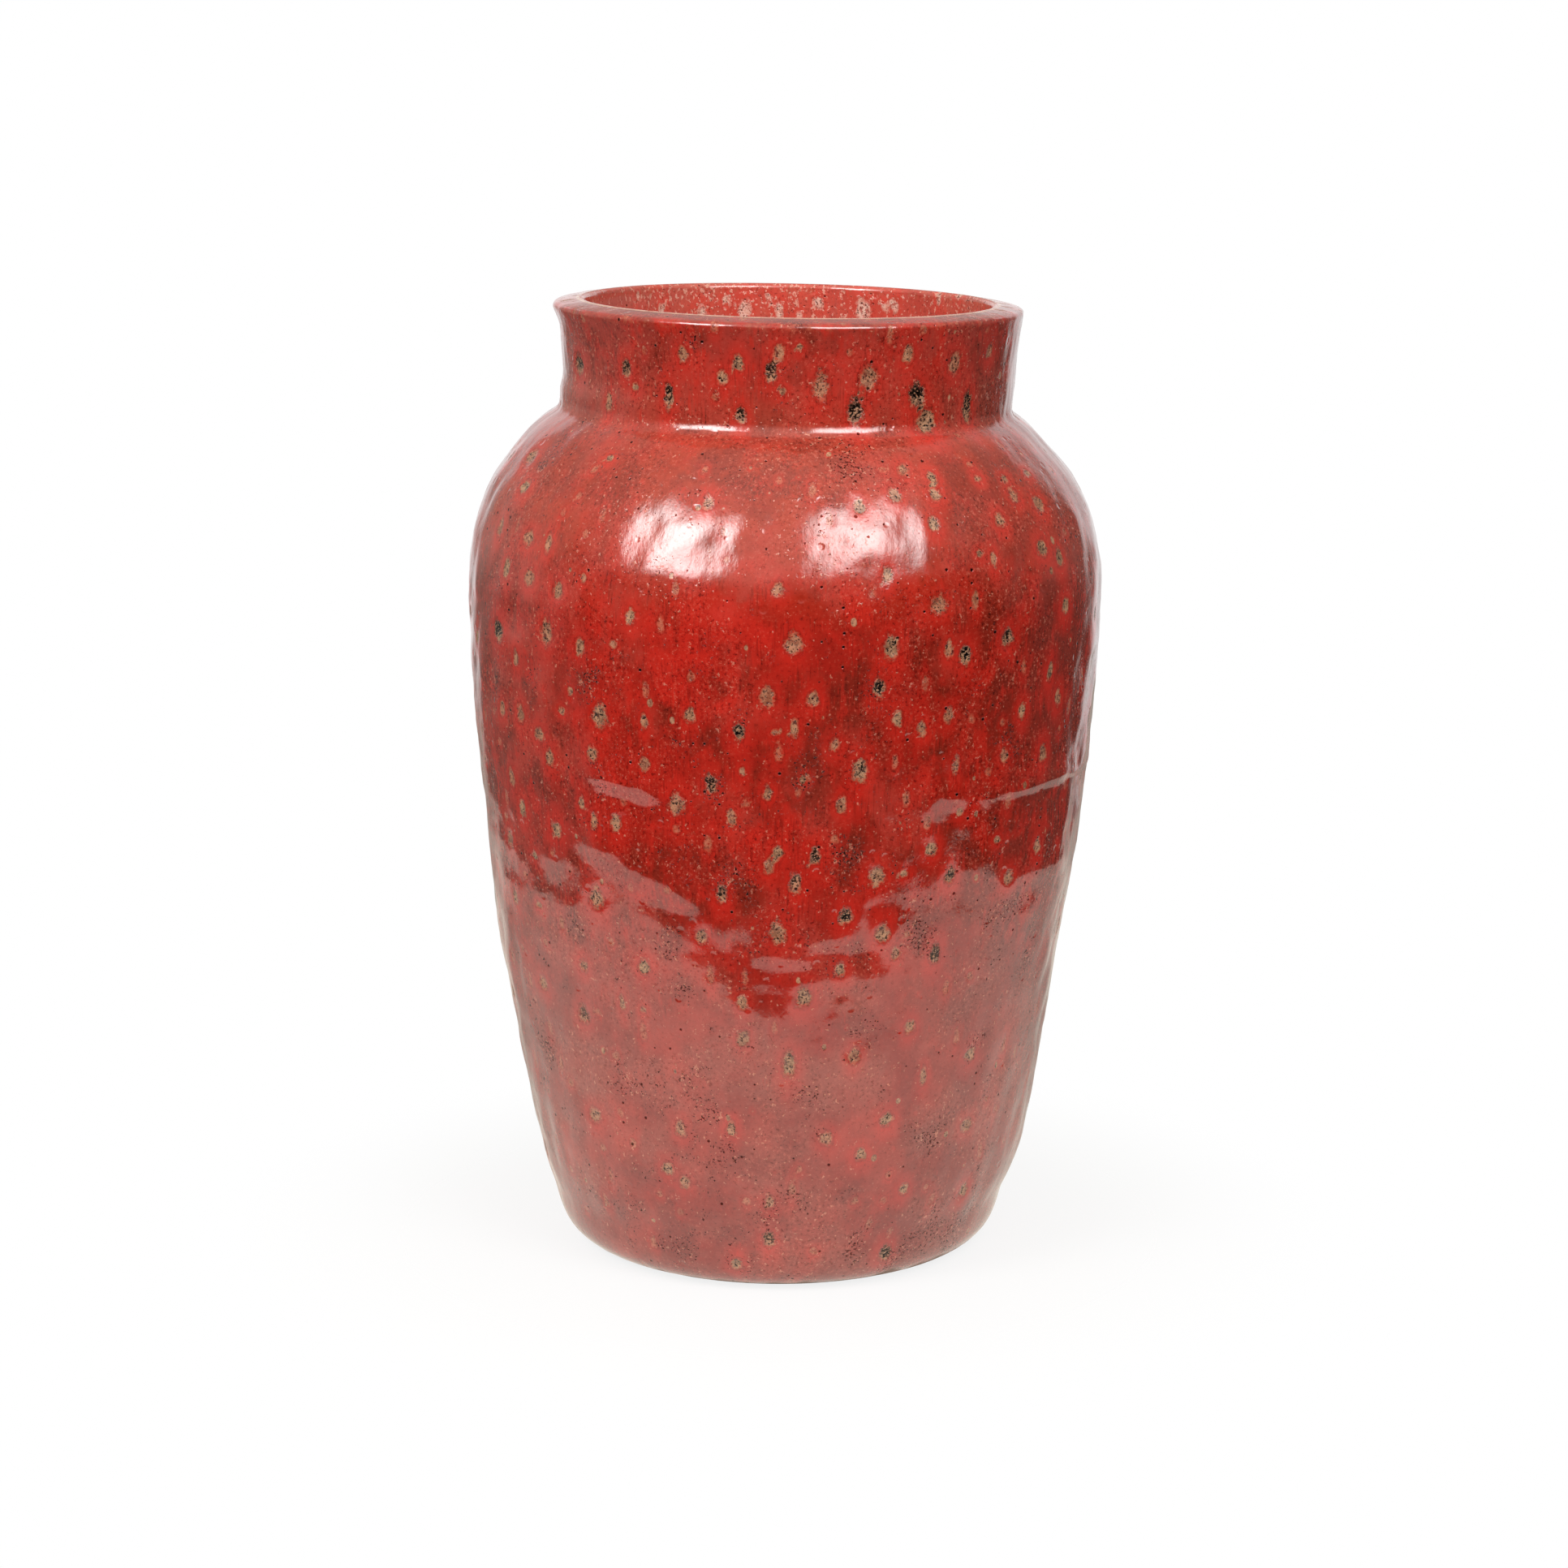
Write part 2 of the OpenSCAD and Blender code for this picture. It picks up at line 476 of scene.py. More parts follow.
@dataclass
class HandForm:
    """How the thrown and luted vase departs from a true turning.

    Attributes:
        camera: The photo's camera, which places the ledges.
        surface: The outer face of the true turning.
        height: Height of the lip.
        radius: Usual radius of the wall.
        drift: How far the lip's centre stands to the right of the foot's.
        rim_tilt: Slope of the lip, down to the right, in degrees.
        rim_from: Height from which the tilt grows.
        oval: Share by which the wall is out of round.
        oval_azimuth: Azimuth at which the wall is widest, in radians.
        seam: The belly joint.
        base_height: Height of the base joint.
        base_dent: Depth of the dent at the base joint.
        base_width: Half width of that dent.
        pinch: The pressed place of the collar.
        broad: Strength of the broad unevenness.
        fine: Strength of the finger-sized unevenness.
        pebble: Strength of the unevenness of the glaze.
        foot_true: Height up to which the wall is truer than above.
        floor_true: Share of the usual radius within which the floor is truer than the wall.
        collar_low: Height from which the collar is truer than the body.
        collar_rise: Height over which it becomes so.
        collar_true: Share by which it is truer.
        ledges: The short ledges of the front.
        hollows: The hollows and swellings.
        waves: The seeded unevenness, by name.
        placed: Each ledge with azimuth and height of its two ends.
    """

    camera: PhotoCamera
    surface: bpy.types.Object
    height: float
    radius: float
    drift: float = 4.0 * MM
    rim_tilt: float = 1.1
    rim_from: float = 0.250
    oval: float = 0.003
    oval_azimuth: float = 0.6
    seam: BellyJoint = BellyJoint()
    base_height: float = 0.024
    base_dent: float = 0.7 * MM
    base_width: float = 7 * MM
    pinch: Pinch = Pinch()
    broad: float = 0.75 * MM
    fine: float = 0.165 * MM
    pebble: float = 0.045 * MM
    foot_true: float = 0.05
    floor_true: float = 0.6
    collar_low: float = 0.345
    collar_rise: float = 0.02
    collar_true: float = 0.6
    ledges: tuple[Ledge, ...] = (
        Ledge((724, 964), (819, 988), proud=1.2 * MM, fade=20 * MM),
        Ledge((1146, 992), (1194, 990), proud=0.9 * MM, fade=16 * MM),
        Ledge((1236, 982), (1310, 957), proud=1.1 * MM, width=6 * MM),
        Ledge((717, 1045), (862, 1124), proud=1.3 * MM, width=11 * MM),
        Ledge((920, 1183), (1000, 1192), proud=0.9 * MM, width=6 * MM, fade=18 * MM),
        Ledge((1008, 1170), (1066, 1160), proud=0.8 * MM, width=6 * MM),
        Ledge((1262, 1085), (1308, 1075), proud=0.9 * MM),
    )
    hollows: tuple[Hollow, ...] = (
        Hollow(azimuth=-90, height=0.105, depth=1.2 * MM, reach=0.022),
        Hollow(azimuth=90, height=0.142, depth=1.0 * MM, reach=0.028),
        Hollow(azimuth=90, height=0.022, depth=1.3 * MM, reach=0.013),
        Hollow(azimuth=-90, height=0.022, depth=0.6 * MM, reach=0.013),
        Hollow(azimuth=90, height=0.3435, depth=2.4 * MM, reach=0.012),
        Hollow(azimuth=-90, height=0.3390, depth=1.2 * MM, reach=0.011),
        Hollow(azimuth=-5, height=0.1270, depth=-1.45 * MM, reach=0.014, turn=13),
        Hollow(azimuth=12, height=0.1215, depth=0.55 * MM, reach=0.012, turn=9),
    )
    waves: dict[str, Ripple] = field(init=False)
    placed: list[tuple[Place, Place, Ledge]] = field(init=False)

    def __post_init__(self) -> None:
        """Draws the seeded waves and places the ledges."""
        self.waves = {
            "broad": Ripple(seed=11, wavelength=0.150, radius=self.radius),
            "fine": Ripple(seed=23, wavelength=0.022, radius=self.radius),
            "seam": Ripple(seed=37, wavelength=0.090, radius=self.radius),
            "pebble": Ripple(seed=51, wavelength=0.009, radius=self.radius),
        }
        self.placed = []
        for ledge in self.ledges:
            self.placed.append((self.spot(*ledge.start), self.spot(*ledge.end), ledge))

    def spot(self, px: float, py: float, surface: bpy.types.Object | None = None) -> Place:
        """The place on a true turning whose bent place a pixel of the photo shows.

        Args:
            px: Pixels from the photo's left edge.
            py: Pixels from the photo's top edge.
            surface: The turning, if it isn't the outer face.

        Returns:
            Azimuth and height of the place.
        """
        start, direction = self.camera.ray(px, py)
        shift = Vector((0, 0, 0))
        for _ in range(2):
            found, place, _, _ = (surface or self.surface).ray_cast(start - shift, direction)
            if not found:
                raise ValueError(f"no surface at pixel {px}, {py}")
            shift = Vector((self.drift * place.z / self.height, 0, -self._drop(place.x, place.z)))
        return math.atan2(place.x, -place.y), place.z

    def _drop(self, x: Array | float, height: Array | float) -> Array | float:
        """How much lower a place stands because the lip slopes."""
        tilt = smooth_step((height - self.rim_from) / (self.height - self.rim_from))
        return math.tan(math.radians(self.rim_tilt)) * x * tilt

    @staticmethod
    def _step(over: Array, width: float, fade: float) -> Array:
        """A step out over a line that fades away above it.

        Args:
            over: Height over the line.
            width: Height of the band in which the wall steps out.
            fade: Height over which it comes back.

        Returns:
            Share of the full step.
        """
        return smooth_step(over / width + 0.5) * np.exp(-np.clip(over - width / 2, 0, None) / fade)

    def _seam(self, azimuth: Array, height: Array) -> Array:
        """Departure at the belly joint, which was smoothed over at the front.

        Args:
            azimuth: Azimuth of each place.
            height: Height of each place.

        Returns:
            Distances, outward.
        """
        seam = self.seam
        wave = self.waves["seam"]
        slope = math.tan(math.radians(seam.tilt))
        line = seam.height - slope * self.radius * np.sin(azimuth)
        line = line + seam.wander * wave.at(azimuth, np.zeros_like(height))
        from_smoothed = azimuth - math.radians(seam.smoothed_azimuth)
        smoothed = np.exp(-((from_smoothed / math.radians(seam.smoothed_turn)) ** 4))
        share = seam.proud_usual + seam.proud_right * np.sin(azimuth)
        share = (1 - seam.smoothed * smoothed) * share
        share = share * (1 + seam.proud_wander * wave.at(azimuth, 0.5 + 0 * height))
        return seam.proud * share * self._step(height - line, seam.width, seam.fade)

    def _ledges(self, azimuth: Array, height: Array) -> Array:
        """Departure at the short ledges.

        Args:
            azimuth: Azimuth of each place.
            height: Height of each place.

        Returns:
            Distances, outward.
        """
        total = np.zeros(np.broadcast(azimuth, height).shape)
        for (left, low), (right, high), ledge in self.placed:
            share = wrap(azimuth - left) / (right - left)
            line = low + (high - low) * np.clip(share, 0, 1)
            step = self._step(height - line, ledge.width, ledge.fade)
            total += ledge.proud * ledge.ends(share) * step
        return total

    def _hollows(self, azimuth: Array, height: Array) -> Array:
        """Departure at the hollows and swellings.

        Args:
            azimuth: Azimuth of each place.
            height: Height of each place.

        Returns:
            Distances, outward.
        """
        total = np.zeros(np.broadcast(azimuth, height).shape)
        for hollow in self.hollows:
            across = wrap(azimuth - math.radians(hollow.azimuth)) / math.radians(hollow.turn)
            upward = (height - hollow.height) / hollow.reach
            total -= hollow.depth * np.exp(-(across**2) - upward**2)
        return total

    def _pinch(self, azimuth: Array, height: Array) -> Array:
        """Departure at the pressed place of the collar.

        Args:
            azimuth: Azimuth of each place.
            height: Height of each place.

        Returns:
            Distances, outward.
        """
        pinch = self.pinch
        across = wrap(azimuth - math.radians(pinch.azimuth)) / math.radians(pinch.turn)
        over = smooth_step((height - pinch.low) / pinch.rise)
        under = smooth_step((self.height - pinch.lip - height) / pinch.fade)
        return -pinch.depth * np.exp(-(across**2)) * (over * under)

    def swell(self, azimuth: Array, height: Array) -> Array:
        """How far the wall stands outside the true turning.

        Args:
            azimuth: Azimuth of each place.
            height: Height of each place.

        Returns:
            Distances, outward.
        """
        free = smooth_step(height / self.foot_true)
        collar = 1 - self.collar_true * smooth_step((height - self.collar_low) / self.collar_rise)
        uneven = self.broad * self.waves["broad"].at(azimuth, height) * collar
        uneven = uneven + self.fine * self.waves["fine"].at(azimuth, height) * collar
        uneven = uneven + self.pebble * self.waves["pebble"].at(azimuth, height)
        round_off = self.oval * self.radius * np.cos(2 * (azimuth - self.oval_azimuth))
        dent = -self.base_dent * np.exp(-(((height - self.base_height) / self.base_width) ** 2))
        marks = self._seam(azimuth, height) + self._ledges(azimuth, height)
        marks = marks + self._hollows(azimuth, height)
        return free * uneven + round_off + dent + self._pinch(azimuth, height) + marks

    def place(self, azimuth: Array, radius: Array, height: Array) -> Array:
        """The points of a turning in the form of the real vase.

        Args:
            azimuth: Azimuth of each point.
            radius: Radius of each point on the true turning.
            height: Height of each point on the true turning.

        Returns:
            Points as x, y and z.
        """
        free = smooth_step(radius / (self.floor_true * self.radius))
        r = radius + free * self.swell(azimuth, height)
        x = r * np.sin(azimuth) + self.drift * height / self.height
        y = -r * np.cos(azimuth)
        z = height - self._drop(x, height)
        return np.stack([x, y, z], axis=-1)


class CraterKind(Enum):
    """A kind of crater: usual width and length as seen, in millimetres, and share of soot."""

    BROAD = (6.6, 9.6, 0.25)
    PLAIN = (4.8, 6.6, 0.10)
    SLIM = (3.4, 7.6, 0.10)
    SMALL = (3.3, 3.9, 0.00)
    SOOTY = (5.0, 8.6, 0.90)
    LARGE = (8.2, 12.0, 0.35)
    BEADED = (7.2, 10.6, 1.00)
    LONG = (4.6, 12.4, 0.80)

    @property
    def width(self) -> float:
        """Usual width."""
        return self.value[0] * MM

    @property
    def length(self) -> float:
        """Usual length, up and down."""
        return self.value[1] * MM

    @property
    def soot(self) -> float:
        """Share of soot."""
        return self.value[2]


# Pixels of the photo at which the larger craters of the front are seen
FRONT_CRATERS: dict[CraterKind, tuple[Pixel, ...]] = {
    CraterKind.BROAD: (
        (1070, 465), (1176, 447), (672, 779), (739, 882), (946, 858), (977, 793), (1098, 797),
        (1156, 744), (736, 1106), (1081, 1081), (959, 1149), (835, 991), (972, 1312), (1061, 950),
        (1088, 1150), (990, 1228),
    ),
    CraterKind.PLAIN: (
        (841, 436), (890, 465), (910, 447), (960, 434), (1118, 436), (650, 564), (644, 600),
        (649, 663), (651, 712), (686, 727), (872, 619), (1112, 579), (1146, 588), (1150, 609),
        (1101, 610), (1059, 623), (1249, 610), (1230, 641), (1279, 621), (1281, 674), (1149, 644),
        (1093, 709), (960, 725), (777, 761), (714, 797), (1002, 862), (850, 881), (1107, 885),
        (1170, 882), (1236, 931), (1029, 918), (731, 928), (796, 941), (664, 905), (901, 1007),
        (946, 977), (1038, 992), (684, 1022), (760, 1014), (1148, 1045), (1238, 1080),
        (865, 1153), (718, 1190), (667, 1212), (795, 1191), (1104, 1174), (948, 1067),
        (958, 1050), (915, 1234), (916, 1279), (1036, 1196), (1121, 1265), (1194, 1298), (1053, 1301),
        (1188, 1384), (1091, 1377), (900, 1391), (1017, 1402), (734, 1374), (843, 1456), (1111, 1464),
        (948, 1482), (838, 1391), (823, 1440), (1185, 1466), (907, 1557), (1059, 1422),
    ),
    CraterKind.SLIM: (
        (749, 495), (1219, 432), (614, 650), (623, 700), (674, 669), (1302, 687), (1222, 688),
        (636, 809), (620, 872), (642, 879), (794, 889), (678, 934), (632, 958), (644, 996),
        (717, 989), (733, 1012), (628, 1034), (634, 1103), (1201, 738), (1137, 898), (1258, 876),
        (1301, 858), (1280, 927), (1178, 943), (1291, 826), (1169, 799), (766, 1236),
        (1272, 1041), (1136, 1325), (979, 897), (1309, 745),
    ),
    CraterKind.SMALL: (
        (781, 476), (985, 428), (964, 482), (748, 565), (1205, 682), (1204, 589), (1239, 590),
        (1268, 583), (756, 793), (691, 875), (702, 852), (914, 951), (955, 903), (718, 713),
        (1183, 1000), (1225, 1034), (658, 1054), (663, 1115), (792, 1245), (1114, 1076),
    ),
    CraterKind.SOOTY: (
        (710, 449), (770, 455), (913, 511), (950, 459), (614, 777), (1241, 785), (1190, 806),
        (1083, 848), (1004, 1056), (981, 1087), (1042, 1129), (717, 1250), (1170, 1079),
        (1152, 1176), (876, 966), (947, 1527), (1090, 1544), (910, 901), (890, 1101),
    ),
    CraterKind.LARGE: ((1012, 476), (1139, 519)),
    CraterKind.BEADED: ((1054, 506), (1128, 487)),
    CraterKind.LONG: ((1191, 501), (823, 489)),
}

# Pixels of the photo at which craters are seen inside the mouth
MOUTH_CRATERS: dict[CraterKind, tuple[Pixel, ...]] = {
    CraterKind.BROAD: ((917, 382), (1064, 383)),
    CraterKind.PLAIN: ((864, 384), (960, 382), (1102, 376), (1009, 374)),
    CraterKind.SMALL: ((894, 370), (945, 366), (1090, 379), (1060, 370), (815, 380), (985, 388)),
}

# Pixels of the photo at which dark pinholes crowd, and the crowd's size in millimetres
FRONT_CROWDS: tuple[Patch, ...] = (
    (1130, 1528, 13), (1185, 1500, 8), (835, 1535, 10), (946, 1499, 7), (1059, 1533, 8),
    (890, 1425, 9), (898, 1084, 7), (921, 1102, 5), (1047, 1051, 7), (1131, 1140, 7),
    (1242, 1126, 9), (842, 1223, 7), (1140, 1163, 7), (1061, 1177, 5), (823, 1158, 8),
    (1065, 1261, 7), (1214, 1261, 10), (1270, 1172, 8),
    (687, 545, 9), (912, 897, 5), (994, 938, 9), (876, 969, 6), (994, 970, 7), (1249, 913, 8),
    (1080, 846, 7), (718, 831, 9), (652, 846, 8), (616, 739, 6), (1045, 566, 8), (1239, 596, 8),
    (672, 1290, 9), (760, 1330, 8), (1010, 1350, 8), (1150, 1400, 9), (780, 1480, 8), (700, 1150, 8),
    (1150, 1502, 11), (1172, 1518, 10), (1108, 1545, 9), (1195, 1480, 8), (865, 1370, 8),
    (858, 1395, 7),
)

# Pixels of the photo at which the glaze is brown over a larger patch, and its size in millimetres
FRONT_BROWNS: tuple[Patch, ...] = (
    (1112, 845, 14), (1100, 910, 11), (1258, 828, 12), (1250, 882, 13), (690, 995, 9), (918, 818, 8),
    (1180, 1062, 11), (880, 842, 7), (1140, 1490, 16), (1010, 930, 12), (1105, 925, 12),
    (1160, 1135, 12), (1210, 745, 12), (940, 1390, 12), (870, 1120, 8), (990, 440, 12),
    (1150, 1525, 18), (1190, 1495, 14), (1070, 1440, 12), (990, 1510, 14), (1140, 1250, 12),
    (1092, 1075, 8), (1000, 990, 9), (915, 1108, 7), (1060, 1180, 9), (1010, 560, 12),
    (1120, 830, 10), (890, 900, 8),
)

# Pixels of the photo at which it is bright, in the same way
FRONT_BRIGHTS: tuple[Patch, ...] = (
    (860, 788, 20), (775, 692, 9), (852, 738, 10), (1062, 742, 11), (1168, 708, 10), (884, 882, 8),
    (740, 955, 8), (778, 962, 8), (935, 1052, 8), (934, 1150, 9), (1050, 575, 10), (1210, 950, 8),
    (850, 470, 9), (1050, 482, 12), (720, 770, 12), (970, 1200, 12), (1200, 1010, 8), (830, 1340, 14),
    (900, 1300, 10), (1060, 1340, 10), (850, 1450, 12),
)

# Pixels of the photo of pale pink patches, partly glaze and partly painted sheen, in the same way
FRONT_MILK_AND_SHEEN: tuple[Patch, ...] = (
    (850, 468, 12), (890, 455, 9), (1080, 450, 10), (740, 425, 12), (780, 718, 14),
    (745, 705, 11), (1042, 730, 8), (1240, 702, 10), (650, 850, 16), (655, 920, 14),
    (1160, 430, 10), (960, 415, 9), (820, 1255, 14), (880, 1385, 13), (1060, 1395, 11),
    (1215, 800, 8), (828, 486, 10), (882, 472, 11), (1105, 470, 10), (775, 455, 12),
    (640, 770, 14), (862, 460, 15), (1060, 478, 10), (990, 485, 9),
)


@dataclass(frozen=True)
class Crater:
    """A crater in the glaze where the pale layer under the red shows.

    Attributes:
        azimuth: Azimuth of its centre.
        along: Distance of its centre along the profile.
        half_width: Half its width.
        half_length: Half its length, up and down.
        soot: Share of soot in it.
        strength: How clearly the pale layer shows in it.
    """

    azimuth: float
    along: float
    half_width: float
    half_length: float
    soot: float
    strength: float


@dataclass(frozen=True)
class Turned:
    """A turned grid of vertices, before it becomes a mesh.

    Attributes:
        profile: Radius and height of each row.
        visible: Number of rows on the visible face, which come first.
        columns: Number of vertices around.
        closed: Whether the last row joins the first.
    """

    profile: Array
    visible: int
    columns: int
    closed: bool

    POLE = 0.001 * MM

    @property
    def azimuth(self) -> Array:
        """The azimuth of each column, as one row."""
        return (np.arange(self.columns) / self.columns * 2 * math.pi - math.pi)[None, :]

    @property
    def along(self) -> Array:
        """The distance along the profile of each row, as one column."""
        step = np.linalg.norm(np.diff(self.profile, axis=0), axis=1)
        return np.concatenate([[0.0], np.cumsum(step)])[:, None]

    def numbered(self) -> tuple[Array, Array]:
        """The vertices that are kept, with one for all columns of a row on the axis.

        Returns:
            For each kept vertex its place in the flat grid, and for each place its kept vertex.
        """
        rows = len(self.profile)
        index = np.arange(rows * self.columns).reshape(rows, self.columns)
        for row in np.flatnonzero(self.profile[:, 0] < self.POLE):
            index[row, :] = index[row, 0]
        kept, flat = np.unique(index, return_inverse=True)
        return kept, flat.reshape(rows, self.columns)

    def faces(self) -> list[tuple[int, ...]]:
        """The faces of the grid, as lists of kept vertices.

        Returns:
            Faces of four corners, or of three at the axis.
        """
        _, index = self.numbered()
        rows = len(index)
        last = rows if self.closed else rows - 1
        faces: list[tuple[int, ...]] = []
        for row in range(last):
            low = index[row]
            high = index[(row + 1) % rows]
            low_next = np.roll(low, -1)
            high_next = np.roll(high, -1)
            for face in zip(low.tolist(), low_next.tolist(), high_next.tolist(), high.tolist()):
                faces.append(tuple(dict.fromkeys(face)))
        return faces


def turned(
    node: bpy.types.Object,
    inside: bool,
    fine: float,
    coarse: float,
    columns: int,
    bands: tuple[Band, ...] = (),
    hidden: tuple[Band, ...] = (),
) -> Turned:
    """The grid of a turned solid, with its visible face first and finest.

    Args:
        node: The solid.
        inside: Whether the visible face looks to the axis.
        fine: Step along the visible face.
        coarse: Step along the other faces.
        columns: Number of vertices around.
        bands: Where the steps along the visible face are shorter.
        hidden: Where the steps along the other faces are shorter.

    Returns:
        The grid.
    """
    section = HalfSection(node)
    sides = section.sides()
    long_sides = sorted(range(len(sides)), key=lambda i: -len(sides[i]))[:2]
    face = max(long_sides, key=lambda i: sides[i][:, 0].mean() * (-1 if inside else 1))
    if section.closed:
        order = sides[face:] + sides[:face]
    else:
        order = sides if face <= len(sides) / 2 else [side[::-1] for side in sides[::-1]]
        face = face if order is sides else len(sides) - 1 - face
    runs = []
    visible = 0
    for i, side in enumerate(order):
        shown = i == (0 if section.closed else face)
        run = redrawn(side, fine, bands) if shown else redrawn(side, coarse, hidden)
        runs.append(run[:-1] if section.closed or i < len(order) - 1 else run)
        if shown:
            visible = sum(len(r) for r in runs) + 1
    return Turned(np.vstack(runs), visible, columns, section.closed)


# Angle between two faces from which the edge between them is sharp
SHARP = math.radians(42)


def add_piece(name: str, points: Array, grid: Turned) -> bpy.types.Object:
    """Makes a mesh piece of a grid, smooth but for its corners, and lets it ride on the body.

    Args:
        name: Name of the piece.
        points: Point of each vertex of the grid.
        grid: The grid.

    Returns:
        The piece.
    """
    kept, _ = grid.numbered()
    mesh = bpy.data.meshes.new(name)
    mesh.from_pydata(points.reshape(-1, 3)[kept].tolist(), [], grid.faces())
    mesh.polygons.foreach_set("use_smooth", np.ones(len(mesh.polygons), bool))
    mesh.set_sharp_from_angle(angle=SHARP)
    mesh.update()
    piece = bpy.data.objects.new(name, mesh)
    bpy.context.scene.collection.objects.link(piece)
    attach(piece, BODY)
    return piece


def add_field(piece: bpy.types.Object, name: str, values: Array, grid: Turned) -> None:
    """Stores three numbers at each vertex of a piece for its material to read.

    Args:
        piece: The piece.
        name: Name of what is stored.
        values: The three numbers for each place of the grid.
        grid: The grid that the piece was made of.
    """
    kept, _ = grid.numbered()
    attribute = piece.data.attributes.new(name, "FLOAT_VECTOR", "POINT")
    stored = values.reshape(-1, 3)[kept].astype(np.float32)
    attribute.data.foreach_set("vector", stored.reshape(-1))


class Zone(Enum):
    """Places between which the glaze changes, in millimetres: heights, or offsets to the right."""

    FOOT = (20, 70)
    LOWER = (90, 200)
    WISPY = (120, 240)
    JOINT = (175, 215)
    FLANK = (250, 310)
    SHOULDER = (275, 325)
    CREASE = (312, 330)
    NECK = (344, 352)
    FLECKED = (348, 360)
    COLLAR = (348, 362)
    LIP = (362, 384)
    LEFT_EDGE = (-130, -75)
    LEFT = (-125, -60)
    RIGHT = (50, 130)


class Graph:
    """Short ways to add shader nodes to a tree."""

    def __init__(self, tree: bpy.types.NodeTree) -> None:
        """Empties the tree and keeps it."""
        tree.nodes.clear()
        self.tree = tree

    def add(self, kind: str, inputs: dict[Any, Any] | None = None, **settings: Any) -> bpy.types.Node:
        """Adds a node.

        Args:
            kind: Type of the node.
            inputs: Values or sockets for its inputs, by name or number.
            settings: Other properties of the node.

        Returns:
            The node.
        """
        node = self.tree.nodes.new(kind)
        for name, value in settings.items():
            setattr(node, name, value)
        for name, value in (inputs or {}).items():
            if isinstance(value, Socket):
                self.tree.links.new(value, node.inputs[name])
            else:
                node.inputs[name].default_value = value
        return node

    def math(self, operation: str, a: Any, b: Any = 0.0) -> Socket:
        """The result of a sum on two numbers."""
        return self.add("ShaderNodeMath", {0: a, 1: b}, operation=operation).outputs[0]

    def plus(self, *terms: Any) -> Socket:
        """The sum of numbers.

        Args:
            terms: The numbers.

        Returns:
            Their sum.
        """
        total = terms[0]
        for term in terms[1:]:
            total = self.math("ADD", total, term)
        return total

    def times(self, *factors: Any) -> Socket:
        """The product of numbers.

        Args:
            factors: The numbers.

        Returns:
            Their product.
        """
        total = factors[0]
        for factor in factors[1:]:
            total = self.math("MULTIPLY", total, factor)
        return total

    def less(self, a: Any, b: Any) -> Socket:
        """The first number less the second."""
        return self.math("SUBTRACT", a, b)

    def most(self, a: Any, b: Any) -> Socket:
        """The larger of two numbers."""
        return self.math("MAXIMUM", a, b)

    def rise(
        self, value: Any, low: float, high: float, start: float = 0.0, end: float = 1.0
    ) -> Socket:
        """A smooth rise between two limits of a value.

        Args:
            value: The value.
            low: Where the rise starts.
            high: Where it ends.
            start: Result up to where it starts.
            end: Result from where it ends.

        Returns:
            The result.
        """
        inputs = {"Value": value, "From Min": low, "From Max": high, "To Min": start, "To Max": end}
        node = self.add("ShaderNodeMapRange", inputs, interpolation_type="SMOOTHSTEP")
        return node.outputs["Result"]

    def fall(self, value: Any, low: float, high: float, start: float = 1.0) -> Socket:
        """A smooth fall to 0 between two limits of a value."""
        return self.rise(value, low, high, start, 0.0)

    def zone(self, place: Any, zone: Zone, start: float = 0.0, end: float = 1.0) -> Socket:
        """A smooth change from start to end through a zone of the vase."""
        return self.rise(place, *zone.value, start, end)

    def mix(self, share: Any, a: Any, b: Any) -> Socket:
        """A colour between two colours."""
        return self.add("ShaderNodeMix", {0: share, 6: a, 7: b}, data_type="RGBA").outputs[2]

    def places(self, upright: float = 1.0) -> Socket:
        """The point on the object in millimetres, with its height times a factor.

        Args:
            upright: The factor. Below 1, what is drawn at the point is long up and down.

        Returns:
            The point.
        """
        point = self.add("ShaderNodeTexCoord").outputs["Object"]
        scale = (1 / MM, 1 / MM, upright / MM)
        return self.add("ShaderNodeVectorMath", {0: point, 1: scale}, operation="MULTIPLY").outputs[0]

    def noise(self, vector: Any, size: float, detail: float = 2.0, rough: float = 0.5) -> Socket:
        """Noise with features of a size in millimetres, about 0.5 on the whole."""
        inputs = {"Vector": vector, "Scale": 1 / size, "Detail": detail, "Roughness": rough}
        return self.add("ShaderNodeTexNoise", inputs).outputs[0]

    def sway(self, vector: Any, size: float, detail: float = 2.0, rough: float = 0.5) -> Socket:
        """Noise with features of a size in millimetres, about 0 on the whole."""
        return self.less(self.noise(vector, size, detail, rough), 0.5)

    def cells(self, vector: Any, gap: float) -> tuple[Socket, Socket]:
        """Points about a gap apart, in millimetres: distance to the nearest and its random colour."""
        node = self.add("ShaderNodeTexVoronoi", {"Vector": vector, "Scale": 1 / gap})
        return node.outputs["Distance"], node.outputs["Color"]

    def picks(self, colour: Any) -> tuple[Socket, Socket]:
        """Two random numbers of a random colour."""
        split = self.add("ShaderNodeSeparateColor", {0: colour}).outputs
        return split[0], split[1]

    def axes(self, vector: Any) -> tuple[Socket, Socket, Socket]:
        """The three numbers of a vector."""
        split = self.add("ShaderNodeSeparateXYZ", {0: vector}).outputs
        return split[0], split[1], split[2]

    def field(self, name: str) -> tuple[Socket, Socket, Socket]:
        """Three numbers stored at the vertices."""
        return self.axes(self.add("ShaderNodeAttribute", attribute_name=name).outputs["Vector"])

    def length(self, x: Any, y: Any) -> Socket:
        """The length of a vector in a plane."""
        joined = self.add("ShaderNodeCombineXYZ", {0: x, 1: y}).outputs[0]
        return self.add("ShaderNodeVectorMath", {0: joined}, operation="LENGTH").outputs["Value"]


